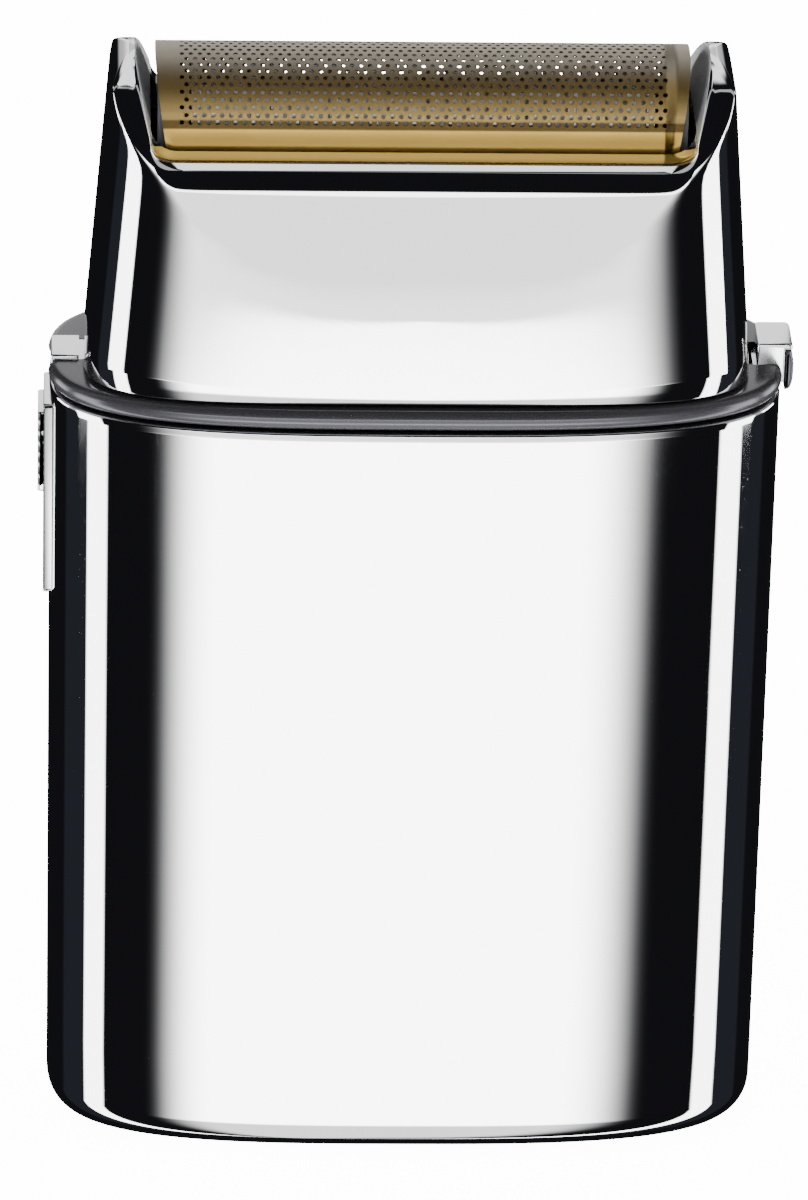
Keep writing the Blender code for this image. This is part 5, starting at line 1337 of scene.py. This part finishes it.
    def build(self) -> None:
        """Bends the pattern over the arch, with a shallow groove where strip and mesh meet."""
        length, y, z, normal_y, normal_z = self.arch()
        flat, quads = self.cells(length[-1])
        s, t = flat[:, 0], flat[:, 1]
        at_y, at_z = np.interp(t, length, y), np.interp(t, length, z)
        ny, nz = np.interp(t, length, normal_y), np.interp(t, length, normal_z)
        border = np.abs(s) > BORDER_MARK / 2
        share = np.where(border, np.abs(s - BORDER_MARK * np.sign(s)), 0.0)
        bordered = self.mesh_half + (self.end(at_z) - self.mesh_half) * share
        s = np.where(border, np.sign(s) * bordered, s)
        line = self.plain + self.groove_gap
        seam = np.minimum(np.abs(t - line), np.abs(length[-1] - t - line))
        groove = self.groove_depth * np.exp(-((seam / self.groove_width) ** 2))
        outer = np.stack([s, at_y - ny * groove, at_z - nz * groove], axis=1)
        inner = outer - self.thickness * np.stack([0 * s, ny, nz], axis=1)
        points, faces = solid_sheet(outer, inner, quads)
        Piece("foil_sheet", "head", points, faces, Shop.GOLD.material, "gold_plate", ("foil",)).make()


# ------------------------------------------------------------------ controls


@dataclass(frozen=True)
class LatchButton:
    """The release button: a bright pad with a dark rounded cap at its outer end.

    Attributes:
        half_y: Half length along Y.
        top: Height of the pad.
        foot: Height of the pad's foot.
        inner_x: x of the pad's upper inner end.
        cap_x: x where the cap starts.
        outer_x: x of the outer end.
        drop: Lowest height of the cap.
        brow: Thickness of the pad over the cap.
        step: x and height of the step under the inner end.
    """

    half_y: float = 2.35
    top: float = 77.1
    foot: float = 73.35
    inner_x: float = 29.85
    cap_x: float = 32.35
    outer_x: float = 33.1
    drop: float = 72.6
    brow: float = 0.62
    step: tuple = (29.6, 74.6)

    def build(self) -> None:
        """The pad's outline and the cap's C outline, both carried along Y."""
        cap = self.cap_x - 0.02
        step_x, step_z = self.step
        pad = np.array(
            [
                [step_x, self.foot],
                [cap, self.foot],
                [cap, self.top - self.brow],
                [self.outer_x - 0.22, self.top - self.brow],
                [self.outer_x - 0.12, self.top - 0.45],
                [self.outer_x - 0.25, self.top - 0.15],
                [self.outer_x - 0.55, self.top],
                [self.inner_x + 0.3, self.top],
                [self.inner_x + 0.08, self.top - 0.08],
                [self.inner_x, self.top - 0.3],
                [self.inner_x, step_z],
                [step_x, step_z],
            ]
        )
        points, faces = slab(pad, self.half_y, 0.22)
        Piece(
            "latch_pad", "button", points, ragged(faces), Shop.BRIGHT.material, "bright_metal", ("release_button",)
        ).make()
        turn = np.linspace(-math.pi / 2, math.pi / 2, 25)
        high = self.top - self.brow - 0.04
        middle, rise = (high + self.drop) / 2, (high - self.drop) / 2
        x = self.cap_x + (self.outer_x - self.cap_x) * np.cos(turn) ** 0.7
        z = middle + rise * np.sign(np.sin(turn)) * np.abs(np.sin(turn)) ** 0.75
        outline = np.stack([x, z], axis=1)
        points, faces = slab(outline, self.half_y, 0.3)
        Piece("latch_cap", "button", points, ragged(faces), Shop.SMOKED.material, "bright_metal").make()


@dataclass(frozen=True)
class FingerSlide:
    """The slide switch: a ribbed knob in a dished plate.

    Attributes:
        plate_x: x of the plate's face.
        floor_x: x of the dish.
        back_x: x of the plate's back.
        half_y: Half depth of the plate.
        low: Height of its lower edge.
        high: Height of its upper edge.
        rim: Width of its rim.
        slot: Half depth, half height and middle height of the slot.
        knob: Lowest and highest height of the knob.
        knob_x: x of the tips of its ribs.
        knob_half_y: Half depth of the knob.
        ribs: How many ribs.
        rib_depth: Depth of the ribs.
        stem: x of both ends of the stem, and its lowest and highest height.
        stem_half_y: Half depth of the stem.
    """

    plate_x: float = -32.5
    floor_x: float = -31.7
    back_x: float = -31.0
    half_y: float = 3.6
    low: float = 52.9
    high: float = 71.3
    rim: float = 0.9
    slot: tuple = (1.1, 5.3, 62.7)
    knob: tuple = (62.3, 70.1)
    knob_x: float = -33.0
    knob_half_y: float = 2.4
    ribs: int = 7
    rib_depth: float = 0.42
    stem: tuple = (-32.1, -29.8, 64.7, 67.7)
    stem_half_y: float = 0.8

    def build_plate(self) -> None:
        """Nested rounded loops: back, side, rim, dish, slot and back again, closed both ways."""
        middle = (self.low + self.high) / 2
        half_z = (self.high - self.low) / 2
        inner_y, inner_z = self.half_y - self.rim, half_z - self.rim
        slot_y, slot_z, slot_middle = self.slot
        soft = 0.15
        loops = [
            (self.half_y, half_z, 0.5, middle, self.back_x),
            (self.half_y, half_z, 0.5, middle, self.plate_x + soft),
            (self.half_y - 0.3 * soft, half_z - 0.3 * soft, 0.5, middle, self.plate_x + 0.3 * soft),
            (self.half_y - soft, half_z - soft, 0.45, middle, self.plate_x),
            (inner_y + soft, inner_z + soft, 0.5, middle, self.plate_x),
            (inner_y + 0.3 * soft, inner_z + 0.3 * soft, 0.45, middle, self.plate_x + 0.3 * soft),
            (inner_y, inner_z, 0.4, middle, self.plate_x + soft),
            (inner_y, inner_z, 0.4, middle, self.floor_x - 0.1),
            (inner_y - 0.1, inner_z - 0.1, 0.35, middle, self.floor_x),
            (slot_y, slot_z, 0.3, slot_middle, self.floor_x),
            (slot_y, slot_z, 0.3, slot_middle, self.back_x),
        ]
        block = []
        for half_y, half_z_now, radius, centre, x in loops:
            ring = rounded_rectangle(half_y, half_z_now, radius)
            block.append(np.stack([0 * ring[:, 0] + x, ring[:, 0], ring[:, 1] + centre], axis=1))
        grid = np.stack(block)
        faces = grid_quads(len(loops), grid.shape[1], wrap_rows=True, wrap_columns=True).reshape(-1, 4)
        Piece(
            "switch_plate", "handle", grid.reshape(-1, 3), faces, Shop.BRIGHT.material, "dark_bezel", ("switch_bezel",)
        ).make()

    def build_knob(self) -> None:
        """A ribbed outline in X and Z carried along Y; the ribs are a raised cosine."""
        low, high = self.knob
        z = np.linspace(low + 0.1, high - 0.1, 127)
        share = (z - low) / (high - low)
        wave = 0.5 - 0.5 * np.cos(2 * math.pi * (self.ribs + 0.5) * share)
        inside = (share > 0.04) & (share < 0.97)
        x = self.knob_x + self.rib_depth * np.where(inside, 1 - np.clip(wave * 1.7, 0, 1), 0.0)
        face = np.stack([x, z], axis=1)
        back = np.array([[self.floor_x - 0.3, high - 0.1], [self.floor_x - 0.3, low + 0.1]])
        outline = np.concatenate([face, [[self.knob_x + 0.3, high]], back, [[self.knob_x + 0.3, low]]])
        points, faces = slab(outline, self.knob_half_y, 0.22)
        total = len(points)
        x0, x1, z0, z1 = self.stem
        stem = np.array([[x0, z0], [x1, z0], [x1, z1], [x0, z1]])
        stem_points, stem_faces = slab(stem, self.stem_half_y, 0.1)
        faces += [[corner + total for corner in face] for face in stem_faces]
        Piece(
            "switch_slide_knob",
            "switch",
            np.concatenate([points, stem_points]),
            ragged(faces),
            Shop.BRIGHT.material,
            "bright_metal",
            ("switch_knob",),
        ).make()

    def build(self) -> None:
        """Builds plate and knob."""
        self.build_plate()
        self.build_knob()


# ------------------------------------------------------------------ inner pieces


@dataclass(frozen=True)
class Works:
    """The CAD nodes whose shapes stay.

    Attributes:
        finishes: The finish of each node.
    """

    finishes: dict = field(
        default_factory=lambda: {
            "base_plate": Shop.BLACK,
            "base_screw_left": Shop.SCREW,
            "base_screw_right": Shop.SCREW,
            "charging_inlet": Shop.BLACK,
            "charge_lamp": Shop.LENS,
            "chassis": Shop.GREY,
            "battery_cell": Shop.SLEEVE,
            "battery_contact_top": Shop.NICKEL,
            "battery_contact_bottom": Shop.NICKEL,
            "circuit_board": Shop.LAMINATE,
            "slide_switch": Shop.BEZEL,
            "motor_lead_red": Shop.RED,
            "motor_lead_black": Shop.DARK_LEAD,
            "motor_can": Shop.PLATED,
            "motor_end_cap": Shop.BLACK,
            "motor_magnet_front": Shop.FERRITE,
            "motor_magnet_back": Shop.FERRITE,
            "motor_rotor": Shop.ROTOR,
            "motor_shaft": Shop.GROUND,
            "motor_bracket": Shop.PLATED,
            "bracket_screw_left": Shop.SCREW,
            "bracket_screw_right": Shop.SCREW,
            "eccentric": Shop.BRASS,
            "crank_roller": Shop.ACETAL,
            "drive_bridge": Shop.ACETAL,
            "bridge_leg_left": Shop.SPRING,
            "bridge_leg_right": Shop.SPRING,
            "release_spring": Shop.SPRING,
            "deck_plate": Shop.BLACK,
            "deck_screw_left": Shop.SCREW,
            "deck_screw_right": Shop.SCREW,
            "deck_seal": Shop.RUBBER,
            "head_liner": Shop.BLACK,
            "drive_post": Shop.GROUND,
            "cutter_spring": Shop.SPRING,
            "cutter_carrier": Shop.ACETAL,
            "cutter_blades": Shop.BLADE_IN_PAINTED_SHADE,
            "foil_frame": Shop.BLACK,
        }
    )

    def dress(self) -> None:
        """Gives each node its finish through its object's material slots."""
        for name, finish in self.finishes.items():
            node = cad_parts[name]
            if not node.material_slots:
                node.data.materials.append(finish.material)
            for slot in node.material_slots:
                slot.material = finish.material


# ------------------------------------------------------------------ studio


@dataclass(frozen=True)
class Studio:
    """Pale floor, soft light and the camera.

    Attributes:
        distance: From the camera to its focus, in metres.
        elevation: How far it looks down, in degrees.
        yaw: How far it stands to the side, in degrees.
        roll: Its turn about its own axis, in degrees.
        focus: The point it looks at, in metres.
        lens: Its focal length.
        white: Brightness of the room's white.
    """

    distance: float = 0.778632
    elevation: float = 27.01
    yaw: float = -2.5
    roll: float = 1.43
    focus: tuple = (-0.000423, 0.0, 0.050603)
    lens: float = 262.9
    white: float = 8.5

    def place_camera(self) -> None:
        """A camera on a sphere round the focus, rolled about its own axis."""
        lift, turn, roll = (math.radians(each) for each in (self.elevation, self.yaw, self.roll))
        back = Vector((math.sin(turn) * math.cos(lift), -math.cos(turn) * math.cos(lift), math.sin(lift)))
        right = Vector((math.cos(turn), math.sin(turn), 0.0))
        up = back.cross(right)
        across = math.cos(roll) * right + math.sin(roll) * up
        above = -math.sin(roll) * right + math.cos(roll) * up
        data = bpy.data.cameras.new("studio_camera")
        data.lens = self.lens
        data.sensor_width = 36.0
        data.clip_start = 0.01
        camera = bpy.data.objects.new("studio_camera", data)
        place = Matrix((across, above, back)).transposed().to_4x4()
        place.translation = Vector(self.focus) + back * self.distance
        camera.matrix_world = place
        bpy.context.scene.collection.objects.link(camera)
        bpy.context.scene.camera = camera

    def lay_floor(self) -> None:
        """A wide matt floor that the mirror finish doesn't pick up."""
        half = 3.0
        mesh = bpy.data.meshes.new("floor")
        mesh.from_pydata([(-half, -half, 0), (half, -half, 0), (half, half, 0), (-half, half, 0)], [], [(0, 1, 2, 3)])
        paper = bpy.data.materials.new("floor_paper")
        paper.use_nodes = True
        shader = paper.node_tree.nodes["Principled BSDF"]
        shader.inputs["Base Color"].default_value = (0.93, 0.93, 0.93, 1.0)
        shader.inputs["Roughness"].default_value = 0.9
        shader.inputs["Emission Color"].default_value = (1.0, 1.0, 1.0, 1.0)
        shader.inputs["Emission Strength"].default_value = 1.5 * self.white
        mesh.materials.append(paper)
        floor = bpy.data.objects.new("floor", mesh)
        floor.visible_glossy = False
        bpy.context.scene.collection.objects.link(floor)

    def light_room(self) -> None:
        """A studio room as a function of the ray's direction, and two soft lamps.

        With u the angle from the front or the back, whichever is nearer, the room is
        bright to 12 degrees, falls to black by 34 and has a narrow bright strip from 53
        to 72. Seen from below it has a brighter table in front, and it is dark overhead
        but for a low shelf. The camera sees white and diffuse rays see an even grey.
        """
        world = bpy.data.worlds.new("studio_room")
        world.use_nodes = True
        bpy.context.scene.world = world
        tree = world.node_tree
        bench = Bench(tree)
        direction = bench.node("ShaderNodeTexCoord").outputs["Generated"]
        parts = bench.node("ShaderNodeSeparateXYZ", Vector=direction)
        x, y, z = (Wave(bench, parts.outputs[index]) for index in range(3))
        side = bench.math("ABSOLUTE", x)
        deep = bench.math("ABSOLUTE", y)
        above = bench.smooth(z, -0.4346, -0.4332)
        turn = bench.math("ARCTAN2", side, deep) * (180 / math.pi)
        wide = bench.smooth(turn * (1.0 - above * 0.17), 12.0, 34.0, 1.0, 0.0) ** 3.5
        strip = bench.smooth(turn - above * 3.0, 52.0, 54.5) * bench.smooth(turn - above * 12.0, 70.0, 73.0, 1.0, 0.0)
        outer = bench.smooth(turn, 69.0, 76.0)
        front = bench.smooth(y, -0.06, 0.02, 1.0, 0.0)
        raised = bench.smooth(z, -0.24, -0.16)
        table = bench.smooth(z, -0.434, -0.398, 1.0, 0.0) ** 2.0 * bench.smooth(z, -0.64, -0.57, 0.15, 1.0)
        wall = bench.smooth(z, -0.40, -0.33, 0.31, 0.24) * bench.smooth(z, -0.64, -0.57, 0.3, 1.0)
        shelf = bench.smooth(z, 0.16, 0.2) * bench.smooth(z, 0.3, 0.36, 1.0, 0.0)
        low_front = (wall + table * 0.7) * bench.smooth(z, 0.3, 0.36, 1.0, 0.0) + shelf * 0.4
        low_back = bench.smooth(z, -0.12, 0.0, 0.0, 0.2)
        level = low_front * front + low_back * (1 - front)
        strip_level = bench.smooth(z, 0.1, 0.5, 1.0, 0.0) * (front + (1 - front) * raised)
        fill = outer * raised * 0.06
        glow = wide * level + strip * strip_level * 0.8 + fill
        dark = bench.mix(outer, (0.0009, 0.0009, 0.0011), (0.0022, 0.0024, 0.0031))
        tint = bench.mix(glow, dark, (1.0, 1.0, 1.0))
        rays = bench.node("ShaderNodeLightPath")
        seen = Wave(bench, rays.outputs["Is Camera Ray"])
        soft = Wave(bench, rays.outputs["Is Diffuse Ray"])
        colour = bench.mix(soft, tint, (0.25, 0.25, 0.253))
        colour = bench.mix(seen, colour, (1.0, 1.0, 1.0))
        background = tree.nodes["Background"]
        bench.feed(background.inputs["Color"], colour)
        background.inputs["Strength"].default_value = self.white
        for name, spot, size, power in (
            ("lamp_left", (-0.5, -0.5, 0.7), 0.5, 5.0),
            ("lamp_right", (0.6, -0.3, 0.6), 0.5, 2.5),
        ):
            data = bpy.data.lights.new(name, "AREA")
            data.size = size
            data.energy = power
            lamp = bpy.data.objects.new(name, data)
            lamp.location = spot
            lamp.rotation_euler = (Vector((0, 0, 0.05)) - Vector(spot)).to_track_quat("-Z", "Y").to_euler()
            lamp.visible_glossy = False
            bpy.context.scene.collection.objects.link(lamp)

    def build(self) -> None:
        """Sets up camera, floor and light."""
        self.place_camera()
        self.lay_floor()
        self.light_room()


def main() -> None:
    """Builds the studio, the visible pieces and the finishes."""
    logging.basicConfig(level=logging.INFO, format="%(name)s: %(message)s")
    Studio().build()
    Works().dress()
    for maker in (Sleeve(), Shoulder(), Head(), Hook(), Foil(), LatchButton(), FingerSlide()):
        maker.build()
        LOG.info("%s built", type(maker).__name__)


if __name__ == "__main__":
    main()
